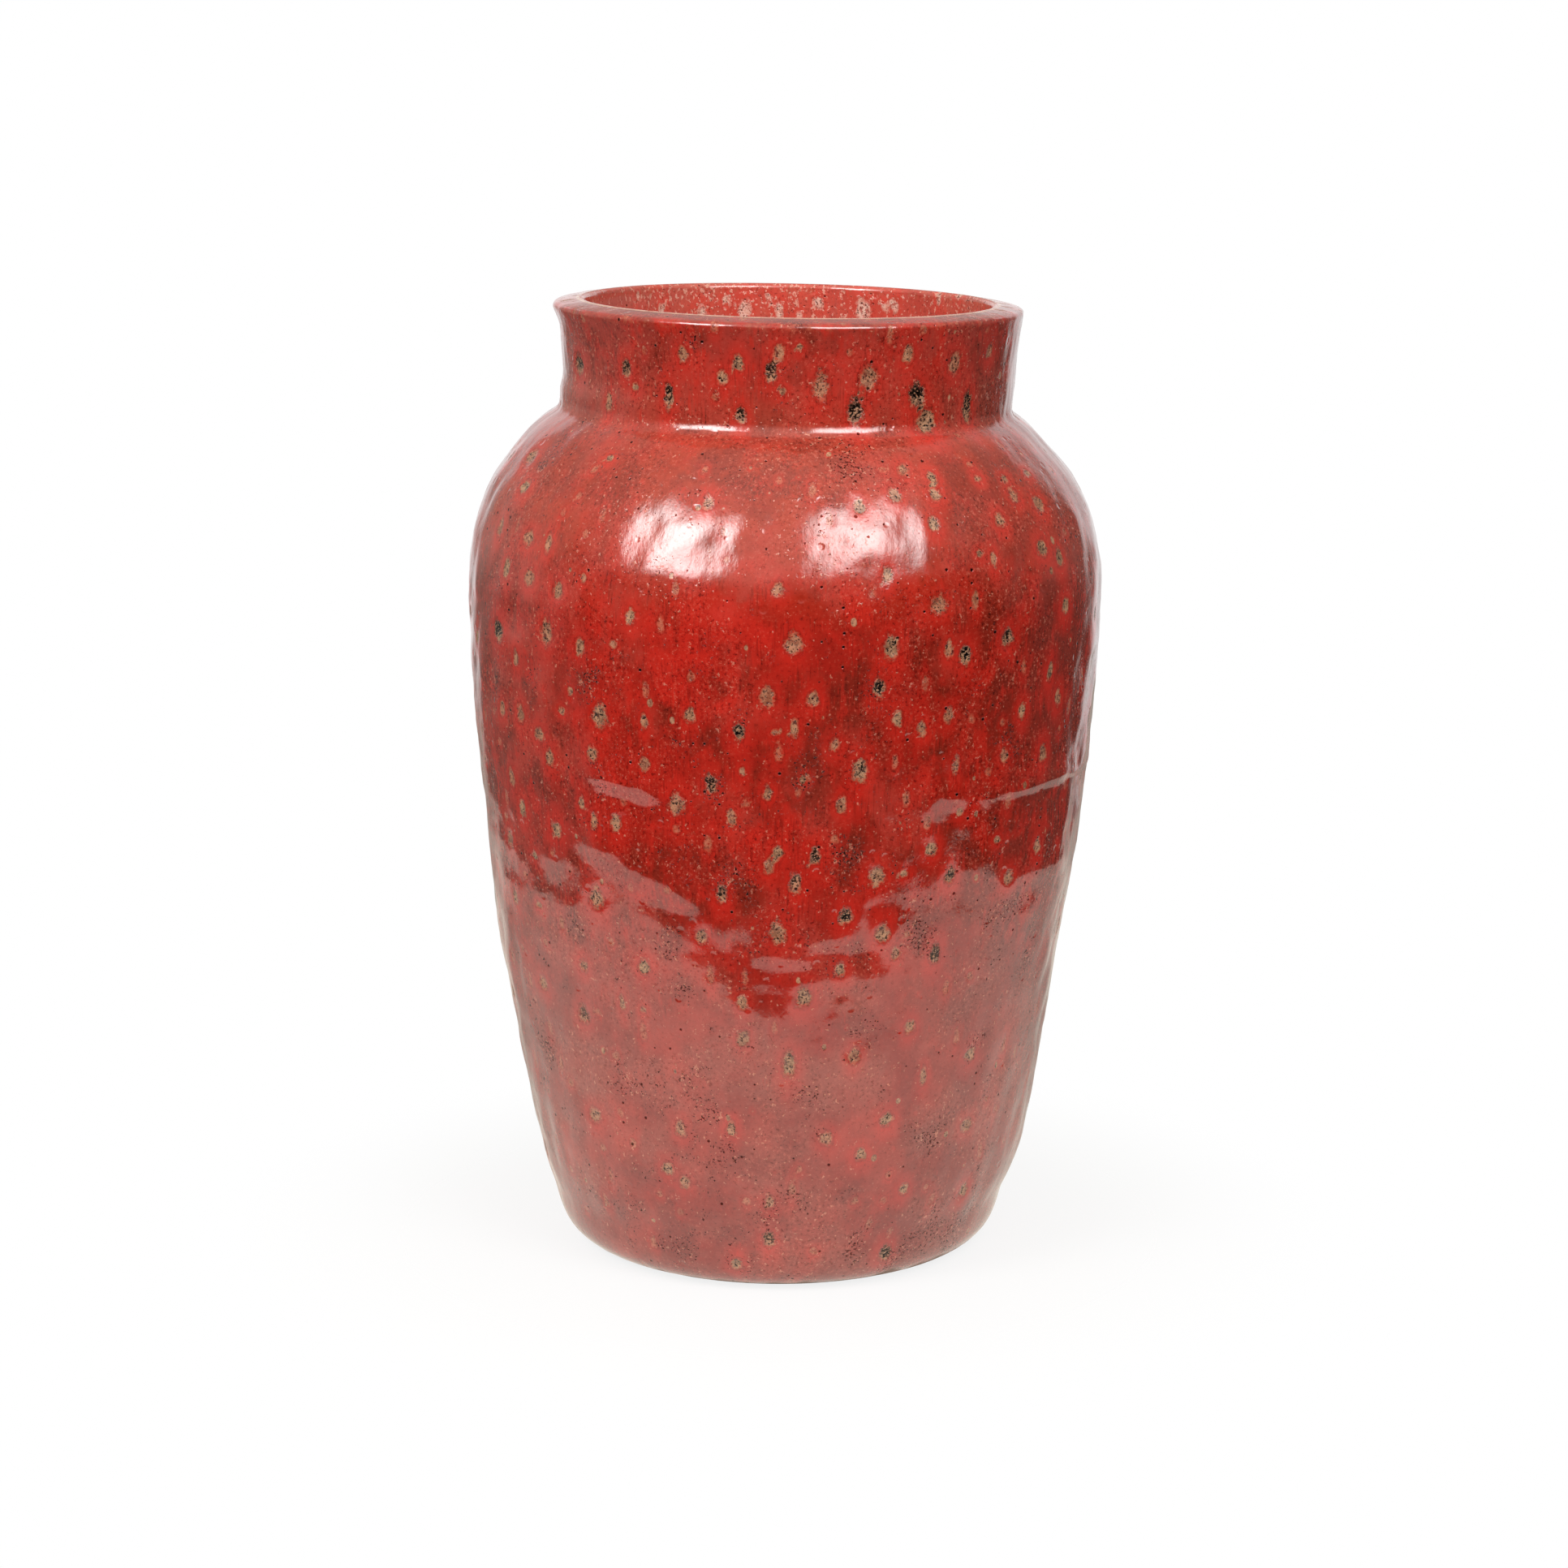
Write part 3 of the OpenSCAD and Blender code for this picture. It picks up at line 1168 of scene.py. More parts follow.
def new_material(name: str) -> tuple[bpy.types.Material, Graph]:
    """An empty node material and the graph of its tree.

    Args:
        name: Name of the material.

    Returns:
        The material and the graph.
    """
    material = bpy.data.materials.new(name)
    material.use_nodes = True
    return material, Graph(material.node_tree)


@dataclass(frozen=True)
class ClayFinish:
    """Bare fired clay with grog.

    Attributes:
        pale: Colour of the clay.
        dark: Colour of its darker patches.
        grog: Colour of the grains in it.
        roughness: Roughness of the surface.
        grain: Strength of the surface's grain, in millimetres.
        grain_size: Size of that grain, in millimetres.
        patch_size: Size of the darker patches, in millimetres.
        grog_gap: Distance between the grains of grog, in millimetres.
    """

    pale: Colour
    dark: Colour
    grog: Colour
    roughness: float = 0.85
    grain: float = 0.12
    grain_size: float = 0.9
    patch_size: float = 18.0
    grog_gap: float = 1.6

    def material(self, name: str) -> bpy.types.Material:
        """The material of this finish.

        Args:
            name: Name of the material.

        Returns:
            The material.
        """
        material, g = new_material(name)
        p = g.places()
        patch = g.rise(g.noise(p, self.patch_size, 4), 0.35, 0.65)
        distance, _ = g.cells(p, self.grog_gap)
        grains = g.fall(distance, 0.10, 0.22)
        colour = g.mix(patch, self.pale, self.dark)
        colour = g.mix(g.times(grains, 0.5), colour, self.grog)
        height = g.plus(g.noise(p, self.grain_size, 3), grains)
        relief = {"Height": height, "Strength": 0.6, "Distance": self.grain * MM}
        bump = g.add("ShaderNodeBump", relief).outputs[0]
        inputs = {"Base Color": colour, "Roughness": self.roughness, "Normal": bump}
        shader = g.add("ShaderNodeBsdfPrincipled", inputs)
        g.add("ShaderNodeOutputMaterial", {"Surface": shader.outputs[0]})
        return material


@dataclass(frozen=True)
class FeatureSizes:
    """Sizes of what makes up the surface of a glaze, in millimetres.

    Attributes:
        crater_edge: Broad raggedness of a crater's edge.
        torn_edge: Fine raggedness of a crater's edge.
        blurred_edge: Grains in which the pale layer ends.
        small_craters: Distance between the small craters.
        crater_tone: Lighter and darker parts of a crater.
        crater_grains: Dark grains in a crater.
        soot: Grains of soot.
        clouds: Brown clouds.
        runs: Streaks down which the glaze ran.
        hairs: Hair-thin streaks.
        hairy: Patches with such streaks.
        glow: Bright patches.
        earth: Dusty and powdery patches low down.
        milk: Milky patches.
        wisps: Wisps of dark grains.
        wispy: Patches with such wisps.
        clusters: Clusters of dark grains.
        calm: Patches with fewer grains and specks.
        pepper: Dark grains.
        pinholes: Distance between the single pinholes.
        flecks: Pale specks.
        grain: Grain of the glaze.
        grit: The finest grain.
        lip_line: Gaps in the line along the lip.
        thin_edge: Places at which the glaze breaks on an edge.
        swells: Broad unevenness of the gloss.
        ripples: Fine unevenness of the gloss.
        dents: Distance between the dents.
    """

    crater_edge: float = 4.0
    torn_edge: float = 1.5
    blurred_edge: float = 0.8
    small_craters: float = 10.0
    crater_tone: float = 3.0
    crater_grains: float = 1.3
    soot: float = 1.0
    clouds: float = 20.0
    runs: float = 3.0
    hairs: float = 0.9
    hairy: float = 12.0
    glow: float = 14.0
    earth: float = 30.0
    milk: float = 26.0
    wisps: float = 34.0
    wispy: float = 22.0
    clusters: float = 13.0
    calm: float = 30.0
    pepper: float = 0.95
    pinholes: float = 5.0
    flecks: float = 1.6
    grain: float = 1.4
    grit: float = 0.8
    lip_line: float = 4.0
    thin_edge: float = 2.6
    swells: float = 9.0
    ripples: float = 2.4
    dents: float = 7.0


@dataclass(frozen=True)
class Pits:
    """What a glaze's material knows about its craters.

    Attributes:
        pit: 1 inside a crater.
        halo: 1 at a crater's edge, fading outward.
        rim: 1 on the thin line around a crater.
        soot: 1 where soot lies in a crater.
    """

    pit: Socket
    halo: Socket
    rim: Socket
    soot: Socket


@dataclass(frozen=True)
class Dots:
    """The small marks in a glaze.

    Attributes:
        hole: 1 in a dark grain or pinhole.
        speck: 1 in a pale speck.
        crowd: 1 where the dark grains crowd.
        grain: Grain of the glaze, about 0 on the whole.
        grit: The finest grain, about 0 on the whole.
    """

    hole: Socket
    speck: Socket
    crowd: Socket
    grain: Socket
    grit: Socket


@dataclass(frozen=True)
class GlazeFinish:
    """Glossy red glaze with brown patches, runs, pale craters, pinholes and specks.

    Attributes:
        red: Colour of the plain glaze.
        bright: Colour around the craters and of the thick runs.
        rose: Colour of the milk-pale patches, and of the painted sheen of softly mirrored lamps.
        brown: Colour of the thin, dark patches, and of the painted shade at the right and low down.
        dark: Colour of the dark grain.
        rust: Colour of the light grain.
        orange: Colour on the shoulder, where the glaze runs thin.
        dusty: Colour low down.
        powder: Pale colour in the patches low down, and near the lip as dust and painted sheen.
        pale: Colour inside the craters.
        olive: Darker colour inside the craters.
        soot: Colour of the soot and the pinholes.
        speck: Colour of the small pale specks.
        edge: Colour where the glaze runs thin over an edge.
        line: Colour of the line along the lip's inner edge, partly a painted highlight.
        clay: Colour of the clay where the glaze ends.
        specks: Share of the places for specks that have one.
        roughness: Roughness of the plain glaze.
        ior: Refractive index of the glaze.
        sizes: Sizes of what makes up the surface.
    """

    red: Colour = srgb(166, 32, 21)
    bright: Colour = srgb(210, 40, 29)
    rose: Colour = srgb(186, 64, 52)
    brown: Colour = srgb(117, 34, 21)
    dark: Colour = srgb(60, 13, 7)
    rust: Colour = srgb(208, 100, 80)
    orange: Colour = srgb(172, 60, 32)
    dusty: Colour = srgb(143, 38, 29)
    powder: Colour = srgb(156, 73, 62)
    pale: Colour = srgb(190, 142, 108)
    olive: Colour = srgb(132, 92, 64)
    soot: Colour = srgb(18, 9, 7)
    speck: Colour = srgb(214, 136, 110)
    edge: Colour = srgb(176, 92, 68)
    line: Colour = srgb(226, 172, 140)
    clay: Colour = srgb(128, 104, 88)
    specks: float = 0.38
    roughness: float = 0.10
    ior: float = 1.85
    sizes: FeatureSizes = FeatureSizes()

    def _pits(self, g: Graph, p: Socket) -> Pits:
        """The craters that are stored at the vertices, made ragged, and small ones between them.

        Args:
            g: Graph of the material.
            p: The point in millimetres.

        Returns:
            What the material knows about them.
        """
        size = self.sizes
        ragged = g.times(g.sway(p, size.crater_edge), 1.2)
        ragged = g.plus(ragged, g.times(g.sway(p, size.torn_edge, 2, 0.6), 0.7))
        u, v, near = g.field("pit")
        soot_share, _, drip = g.field("wear")
        strength, _, _ = g.field("tint")
        round_off = g.length(g.times(u, g.rise(v, -1.0, 1.0, 0.90, 1.12)), v)
        beyond = g.times(g.less(near, 1.2), 2.2)
        distance = g.plus(g.most(round_off, beyond), ragged)
        blurred = g.plus(distance, g.times(g.sway(p, size.blurred_edge), 0.8))
        pit = g.times(g.fall(blurred, 0.56, 1.16), strength)
        rim = g.times(g.rise(distance, 0.92, 1.06), g.fall(distance, 1.10, 1.40))
        drip = g.plus(drip, g.times(ragged, 0.7))

        gap, colour = g.cells(g.places(0.72), size.small_craters)
        pick, _ = g.picks(colour)
        gap = g.plus(gap, g.times(ragged, 0.08), g.rise(pick, 0.45, 1.0, 0.0, -0.13))
        small = g.fall(gap, -0.03, 0.02, 0.85)
        halo = g.most(g.fall(drip, 0.6, 3.1), g.fall(gap, 0.0, 0.14, 0.5))

        sooty = g.times(g.rise(v, -1.2, 0.4), soot_share, 0.20)
        black = g.plus(g.noise(p, size.soot, 2, 0.6), sooty)
        soot = g.times(pit, g.rise(black, 0.59, 0.66))
        return Pits(g.most(pit, small), halo, rim, soot)

    def _dots(self, g: Graph, p: Socket) -> Dots:
        """Dark grains, which crowd in wisps and clusters, single pinholes and pale specks.

        Args:
            g: Graph of the material.
            p: The point in millimetres.

        Returns:
            The marks.
        """
        size = self.sizes
        _, _, crowds = g.field("tint")
        _, _, z = g.axes(p)
        wisp = g.fall(g.math("ABSOLUTE", g.sway(p, size.wisps, 4, 0.6)), 0.0, 0.055)
        wispy = g.rise(g.noise(p, size.wispy), 0.46, 0.60)
        wisp = g.times(wisp, wispy, g.zone(z, Zone.WISPY, 0.9, 0.55))
        cluster = g.plus(g.noise(p, size.clusters, 4, 0.65), g.times(crowds, 0.25))
        cluster = g.rise(cluster, 0.52, 0.76)
        crowd = g.most(wisp, cluster)
        calm = g.fall(g.noise(p, size.calm, 3), 0.42, 0.58)

        pepper = g.plus(g.noise(p, size.pepper, 2, 0.6), g.times(crowd, 0.155), g.times(calm, -0.03))
        pepper = g.rise(pepper, 0.71, 0.77)
        gap, colour = g.cells(p, size.pinholes)
        pick, width = g.picks(colour)
        gap = g.less(gap, g.rise(width, 0.0, 1.0, 0.07, 0.13))
        single = g.times(g.fall(gap, -0.03, 0.03), g.math("LESS_THAN", pick, 0.4))

        fleck = g.plus(g.noise(g.places(0.9), size.flecks, 2, 0.6), g.times(cluster, 0.05))
        fleck = g.plus(fleck, g.zone(z, Zone.LOWER, 0.010, 0.0))
        fleck = g.plus(fleck, g.times(calm, -0.035), g.zone(z, Zone.FLECKED, 0.0, 0.015))
        least = 0.70 - 0.18 * self.specks
        speck = g.rise(fleck, least, least + 0.09, 0.0, 0.6)
        grain = g.times(g.sway(p, size.grain, 4, 0.72), g.rise(calm, 0.0, 1.0, 1.02, 0.72))
        grit = g.sway(p, size.grit, 3, 0.6)
        return Dots(g.most(pepper, single), speck, crowd, grain, grit)

    @staticmethod
    def _fired(g: Graph, p: Socket) -> Socket:
        """How much browner than usual the glaze is, with painted shade at the right and low down.

        Args:
            g: Graph of the material.
            p: The point in millimetres.

        Returns:
            About 0.1 in a brown patch, and below 0 in a bright one.
        """
        x, _, z = g.axes(p)
        browned, brightened, _ = g.field("tone")
        _, _, crowds = g.field("tint")
        # Painted shade: browner at the right side, which gets less light; browner too at the far left
        # edge
        fired = g.plus(g.zone(x, Zone.RIGHT, 0.0, 0.20), g.zone(x, Zone.LEFT_EDGE, 0.08, 0.0))
        fired = g.plus(fired, g.times(browned, 0.135), g.times(brightened, -0.14))
        fired = g.plus(fired, g.times(crowds, 0.06))
        # Browner low down: partly the glaze, partly painted shade where the wall faces down
        fired = g.plus(fired, g.zone(z, Zone.JOINT, 0.03, 0.0), g.zone(z, Zone.FOOT, 0.05, 0.0))
        # Browner on the band from the upper shoulder to the neck
        return g.plus(fired, g.zone(z, Zone.CREASE, 0.0, 0.06), g.zone(z, Zone.NECK, 0.0, -0.06))

    def _ground(self, g: Graph, p: Socket, pits: Pits, dots: Dots) -> Socket:
        """The colour of the glaze between the craters: red with brown patches, runs and grain.

        Args:
            g: Graph of the material.
            p: The point in millimetres.
            pits: The craters.
            dots: The small marks.

        Returns:
            The colour.
        """
        size = self.sizes
        x, _, z = g.axes(p)
        browned, brightened, milk_and_sheen = g.field("tone")
        low_down = g.zone(z, Zone.LOWER, 1.0, 0.0)
        shoulder = g.times(g.zone(z, Zone.SHOULDER), g.zone(z, Zone.LIP, 1.0, 0.0))
        away = g.less(1.0, g.times(pits.halo, 0.9))
        runs = g.sway(g.places(0.14), size.runs, 4, 0.6)

        earth = g.rise(g.noise(p, size.earth, 4, 0.6), 0.38, 0.62)
        earth = g.mix(earth, self.dusty, self.powder)
        colour = g.mix(g.times(shoulder, 0.6), self.red, self.orange)
        colour = g.mix(g.times(low_down, 0.9), colour, earth)
        # Paler: dust and painted sheen on the collar, and paler at the lower left
        dust_and_sheen = g.times(g.zone(x, Zone.LEFT, 0.45, 0.0), g.zone(z, Zone.FLANK, 1.0, 0.0))
        dust_and_sheen = g.plus(g.zone(z, Zone.COLLAR, 0.0, 0.45), dust_and_sheen)
        colour = g.mix(dust_and_sheen, colour, self.powder)
        # Pink patches: milk-pale glaze at random, and placed patches of painted sheen of softly
        # mirrored lamps
        milk = g.plus(g.noise(g.places(0.7), size.milk, 4, 0.6), g.times(milk_and_sheen, 0.17))
        colour = g.mix(g.rise(milk, 0.48, 0.66, 0.0, 0.6), colour, self.rose)

        # Brown clouds; the browning adds painted shade at the right side and low down
        cloud = g.plus(g.noise(p, size.clouds, 5, 0.65), g.times(runs, 0.40))
        cloud = g.plus(cloud, g.times(dots.grain, 0.25), self._fired(g, p))
        brown = g.times(g.rise(cloud, 0.43, 0.66), away)
        patchy = g.less(g.rise(shoulder, 0.0, 1.0, 0.78, 0.55), g.times(low_down, 0.50))
        colour = g.mix(g.times(brown, patchy), colour, self.brown)

        lit = g.plus(g.times(brightened, 0.20), g.times(browned, -0.15))
        glow = g.plus(g.noise(p, size.glow, 3), g.times(runs, 0.6), lit)
        glow = g.times(g.rise(glow, 0.48, 0.68), away)
        glow = g.times(glow, g.rise(low_down, 0.0, 1.0, 0.60, 0.08))
        glow = g.times(glow, g.rise(shoulder, 0.0, 1.0, 1.0, 0.35))
        around = g.times(pits.halo, g.rise(low_down, 0.0, 1.0, 0.62, 0.44))
        colour = g.mix(g.most(glow, around), colour, self.bright)

        hair = g.sway(g.places(0.05), size.hairs)
        hair = g.times(hair, g.rise(g.noise(p, size.hairy), 0.40, 0.62))
        hair = g.times(hair, g.rise(low_down, 0.0, 1.0, 1.0, 0.5))
        colour = g.mix(g.rise(hair, 0.04, 0.16, 0.0, 0.35), colour, self.bright)
        colour = g.mix(g.fall(hair, -0.16, -0.04, 0.30), colour, self.dark)

        grainy = g.less(g.plus(0.60, g.times(brown, 0.40)), g.times(pits.halo, 0.35))
        grainy = g.times(grainy, g.rise(low_down, 0.0, 1.0, 1.0, 0.75))
        light = g.rise(dots.grain, 0.03, 0.17, 0.0, 0.58)
        colour = g.mix(g.times(light, grainy), colour, self.rust)
        dark = g.fall(dots.grain, -0.17, -0.02, 0.54)
        colour = g.mix(g.times(dark, grainy), colour, self.dark)
        return g.mix(g.times(pits.rim, 0.25), colour, self.dark)

    def _colour(self, g: Graph, p: Socket, pits: Pits, dots: Dots) -> Socket:
        """The colour of the glaze with its craters, marks and edges.

        Args:
            g: Graph of the material.
            p: The point in millimetres.
            pits: The craters.
            dots: The small marks.

        Returns:
            The colour.
        """
        size = self.sizes
        tone = g.plus(dots.grit, g.times(g.sway(p, size.crater_tone), 0.8))
        inside = g.mix(g.rise(tone, -0.16, 0.12), self.olive, self.pale)
        grains = g.rise(g.noise(p, size.crater_grains, 3, 0.6), 0.53, 0.62, 0.0, 0.9)
        inside = g.mix(grains, inside, self.dark)
        colour = g.mix(g.times(dots.crowd, 0.15), self._ground(g, p, pits, dots), self.dark)
        colour = g.mix(dots.speck, colour, self.speck)
        colour = g.mix(pits.pit, colour, inside)

        _, thin, _ = g.field("wear")
        broken = g.rise(g.noise(p, size.thin_edge, 3), 0.50, 0.68, 0.0, 0.5)
        colour = g.mix(g.times(thin, broken), colour, self.edge)
        # Pale line along the lip's inner edge: a glaze break, lightened as a painted highlight
        gaps = g.rise(g.noise(p, size.lip_line, 3), 0.30, 0.60, 0.4, 1.0)
        colour = g.mix(g.times(g.rise(thin, 1.1, 1.9, 0.0, 0.9), gaps), colour, self.line)
        black = g.most(g.times(dots.hole, 0.72), pits.soot)
        colour = g.mix(black, colour, self.soot)
        _, bare, _ = g.field("tint")
        return g.mix(g.times(bare, 0.9), colour, self.clay)

    def _relief(self, g: Graph, p: Socket, pits: Pits, dots: Dots) -> Socket:
        """The direction of the uneven surface.

        Args:
            g: Graph of the material.
            p: The point in millimetres.
            pits: The craters.
            dots: The small marks.

        Returns:
            The direction.
        """
        size = self.sizes
        drawn = g.places(0.6)
        peel = g.times(g.sway(drawn, size.swells), 0.12)
        peel = g.plus(peel, g.times(g.sway(drawn, size.ripples, 3, 0.6), 0.080))
        gap, colour = g.cells(p, size.dents)
        pick, width = g.picks(colour)
        gap = g.less(gap, g.rise(width, 0.0, 1.0, 0.02, 0.16))
        dent = g.times(g.fall(gap, -0.02, 0.14), g.math("LESS_THAN", pick, 0.40))
        grit = g.times(dots.grit, g.plus(0.014, g.times(pits.pit, 0.12)))
        drop = g.plus(g.times(dots.hole, 0.12), g.times(pits.pit, 0.05), g.times(pits.soot, 0.16))
        drop = g.plus(drop, g.times(dent, 0.14))
        height = g.less(g.plus(peel, grit, g.times(dots.speck, 0.08)), drop)
        bump = g.add("ShaderNodeBump", {"Height": height, "Strength": 1.0, "Distance": MM})
        return bump.outputs[0]

    def material(self, name: str) -> bpy.types.Material:
        """The material of this finish, for a piece that stores pit, wear, tint and tone.

        Args:
            name: Name of the material.

        Returns:
            The material.
        """
        material, g = new_material(name)
        p = g.places()
        pits = self._pits(g, p)
        dots = self._dots(g, p)
        _, bare, _ = g.field("tint")
        clean = g.less(1.0, pits.soot)
        rough = g.plus(self.roughness, g.times(pits.pit, clean, 0.24), g.times(bare, 0.60))
        # A dark grain mirrors in its own colour, so that it stays dark where a lamp is mirrored
        dull = g.most(g.times(dots.hole, 0.9), g.fall(dots.grain, -0.17, -0.04, 0.46))
        dull = g.most(dull, g.times(pits.soot, 0.7))
        dull = g.times(dull, g.less(1.0, bare))
        inputs = {
            "Base Color": self._colour(g, p, pits, dots),
            "Metallic": dull,
            "Roughness": rough,
            "IOR": self.ior,
            "Normal": self._relief(g, p, pits, dots),
        }
        shader = g.add("ShaderNodeBsdfPrincipled", inputs)
        g.add("ShaderNodeOutputMaterial", {"Surface": shader.outputs[0]})
        return material


class Face(Enum):
    """The face of a coat that is seen: 1 looks away from the vase's axis, and -1 to it."""

    OUTSIDE = 1.0
    INSIDE = -1.0


@dataclass
class ClayWork:
    """The clay sections of the vase and the slip that lutes them.

    Attributes:
        form: The hand-made form.
        sections: Names of the clay sections.
        seams: Names of the slip rings.
        step: Step of the mesh along the section.
        columns: Number of vertices around.
        clay: Finish of the sections.
        slip: Finish of the slip rings.
    """

    form: HandForm
    sections: tuple[str, ...] = ("base_dish", "lower_wall", "shoulder_wall", "neck_collar")
    seams: tuple[str, ...] = ("base_slip", "belly_slip", "neck_slip")
    step: float = 4 * MM
    columns: int = 160
    clay: ClayFinish = ClayFinish(
        pale=srgb(142, 126, 110), dark=srgb(104, 92, 80), grog=srgb(70, 58, 50)
    )
    slip: ClayFinish = ClayFinish(
        pale=srgb(158, 142, 124), dark=srgb(128, 114, 98), grog=srgb(96, 82, 70), grain=0.05
    )

    def build(self, node: str) -> bpy.types.Object:
        """Turns one solid again in the hand-made form.

        Args:
            node: Name of the solid.

        Returns:
            The piece that stands for it.
        """
        grid = turned(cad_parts[node], False, self.step, self.step, self.columns)
        points = self.form.place(grid.azimuth, grid.profile[:, :1], grid.profile[:, 1:])
        piece = add_piece(f"{node}_fired", points, grid)
        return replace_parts(piece, node)

    def dress(self) -> list[bpy.types.Object]:
        """Builds every section and seam with its finish.

        Returns:
            The pieces.
        """
        clay = self.clay.material("bare_clay")
        slip = self.slip.material("fired_slip")
        kinds = (
            (self.sections, clay, "stoneware_clay"),
            (self.seams, slip, "luting_slip"),
        )
        pieces = []
        for names, material, slot in kinds:
            for node in names:
                piece = self.build(node)
                piece.data.materials.append(material)
                pieces.append(piece)
        return pieces


@dataclass(frozen=True)
class GlazeEdges:
    """Where a coat of glaze runs thin at the lip and ends at the foot.

    Attributes:
        lip: Height of the lip's rounded edge.
        thin_drop: How far under the top the glaze is thinnest.
        thin_width: Half the height of the band in which it is thin.
        line_drop: How far under the top the line along the lip's inner edge ends.
        line_width: Width of that line.
        line: What is stored on that line, over the 1 of the thinnest glaze.
        bare: Height up to which the clay is bare.
        bare_right: How much higher it is bare at the right.
        right_from: Sine of the azimuth from which it is bare higher.
        right_rise: Rise of that sine over which it becomes so.
        wander: How far that height wanders.
        blur: Height over which the glaze ends.
    """

    lip: float = 6 * MM
    thin_drop: float = 2.5 * MM
    thin_width: float = 2.2 * MM
    line_drop: float = 3 * MM
    line_width: float = 1.6 * MM
    line: float = 2.0
    bare: float = 2.2 * MM
    bare_right: float = 2.0 * MM
    right_from: float = 0.2
    right_rise: float = 0.5
    wander: float = 0.8 * MM
    blur: float = 1.6 * MM


class CraterStamp:
    """What the craters of a coat leave at each place of its grid.

    A distance from a crater is 1 at its edge.

    Attributes:
        pit: Offset across and upward from the nearest crater, and the distance from it.
        drip: Distance from the nearest run of bright glaze around a crater.
        soot: Share of soot in the nearest crater.
        strength: How clearly the pale layer shows in the nearest crater.
        depth: Depth of the craters, below 0 on the low ring around each.
    """

    FAR = 6.0
    DEEP = 0.11
    LEAST_HALF_WIDTH = 2 * MM
    SLOPE_START = 1.25
    RING = 1.45
    RING_WIDTH = 0.3
    RING_SHARE = 0.25
    DRIP_ACROSS = 0.85
    DRIP_UPWARD = 0.70
    DRIP_SINK = 0.3
    DRIP_WEAK = 1.2
    CLEAR = 1.1

    def __init__(self, grid: Turned, face: Face, craters: list[Crater]) -> None:
        """Stamps the craters into the grid, one by one.

        Args:
            grid: The coat's grid.
            face: The face that is seen.
            craters: The craters.
        """
        shape = (len(grid.profile), grid.columns)
        radius = grid.profile[:, :1]
        nearest = np.full(shape, self.FAR)
        owner = np.full(shape, -1)
        self.pit = np.stack([nearest, nearest, nearest], axis=-1)
        self.drip = np.full(shape, self.FAR)
        self.soot = np.zeros(shape)
        self.strength = np.zeros(shape)
        self.depth = np.zeros(shape)
        for number, crater in enumerate(craters):
            across = wrap(grid.azimuth - crater.azimuth) * radius / crater.half_width
            upward = face.value * (grid.along - crater.along) / crater.half_length
            distance = np.hypot(across, upward)
            distance[grid.visible :] = self.FAR
            near = distance < nearest
            nearest = np.where(near, distance, nearest)
            owner[near] = number
            offsets = [across + 0 * distance, upward + 0 * distance, distance]
            self.pit[near] = np.stack(offsets, axis=-1)[near]
            self.soot[near] = crater.soot
            self.strength[near] = crater.strength
            run = np.hypot(self.DRIP_ACROSS * across, self.DRIP_UPWARD * (upward + self.DRIP_SINK))
            self.drip = np.minimum(self.drip, run + self.DRIP_WEAK * (1 - crater.strength))
            deep = self.DEEP * max(crater.half_width, self.LEAST_HALF_WIDTH)
            ring = np.exp(-(((distance - self.RING) / self.RING_WIDTH) ** 2))
            self.depth = self.depth + deep * smooth_step(self.SLOPE_START - distance)
            self.depth = self.depth - self.RING_SHARE * deep * ring
        self.pit = np.clip(self.pit, -self.FAR, self.FAR)
        self.strength[self._border(owner) & (nearest > self.CLEAR)] = 0.0

    @staticmethod
    def _border(owner: Array) -> Array:
        """Whether a neighbour of a place lies nearer to another crater than the place does.

        Args:
            owner: Number of the nearest crater at each place.

        Returns:
            True on both sides of each border between two craters.
        """
        border = np.zeros(owner.shape, bool)
        for rows, turns in ((1, 0), (0, 1), (1, 1), (1, -1)):
            other = np.roll(owner, (rows, turns), (0, 1)) != owner
            border |= other | np.roll(other, (-rows, -turns), (0, 1))
        return border


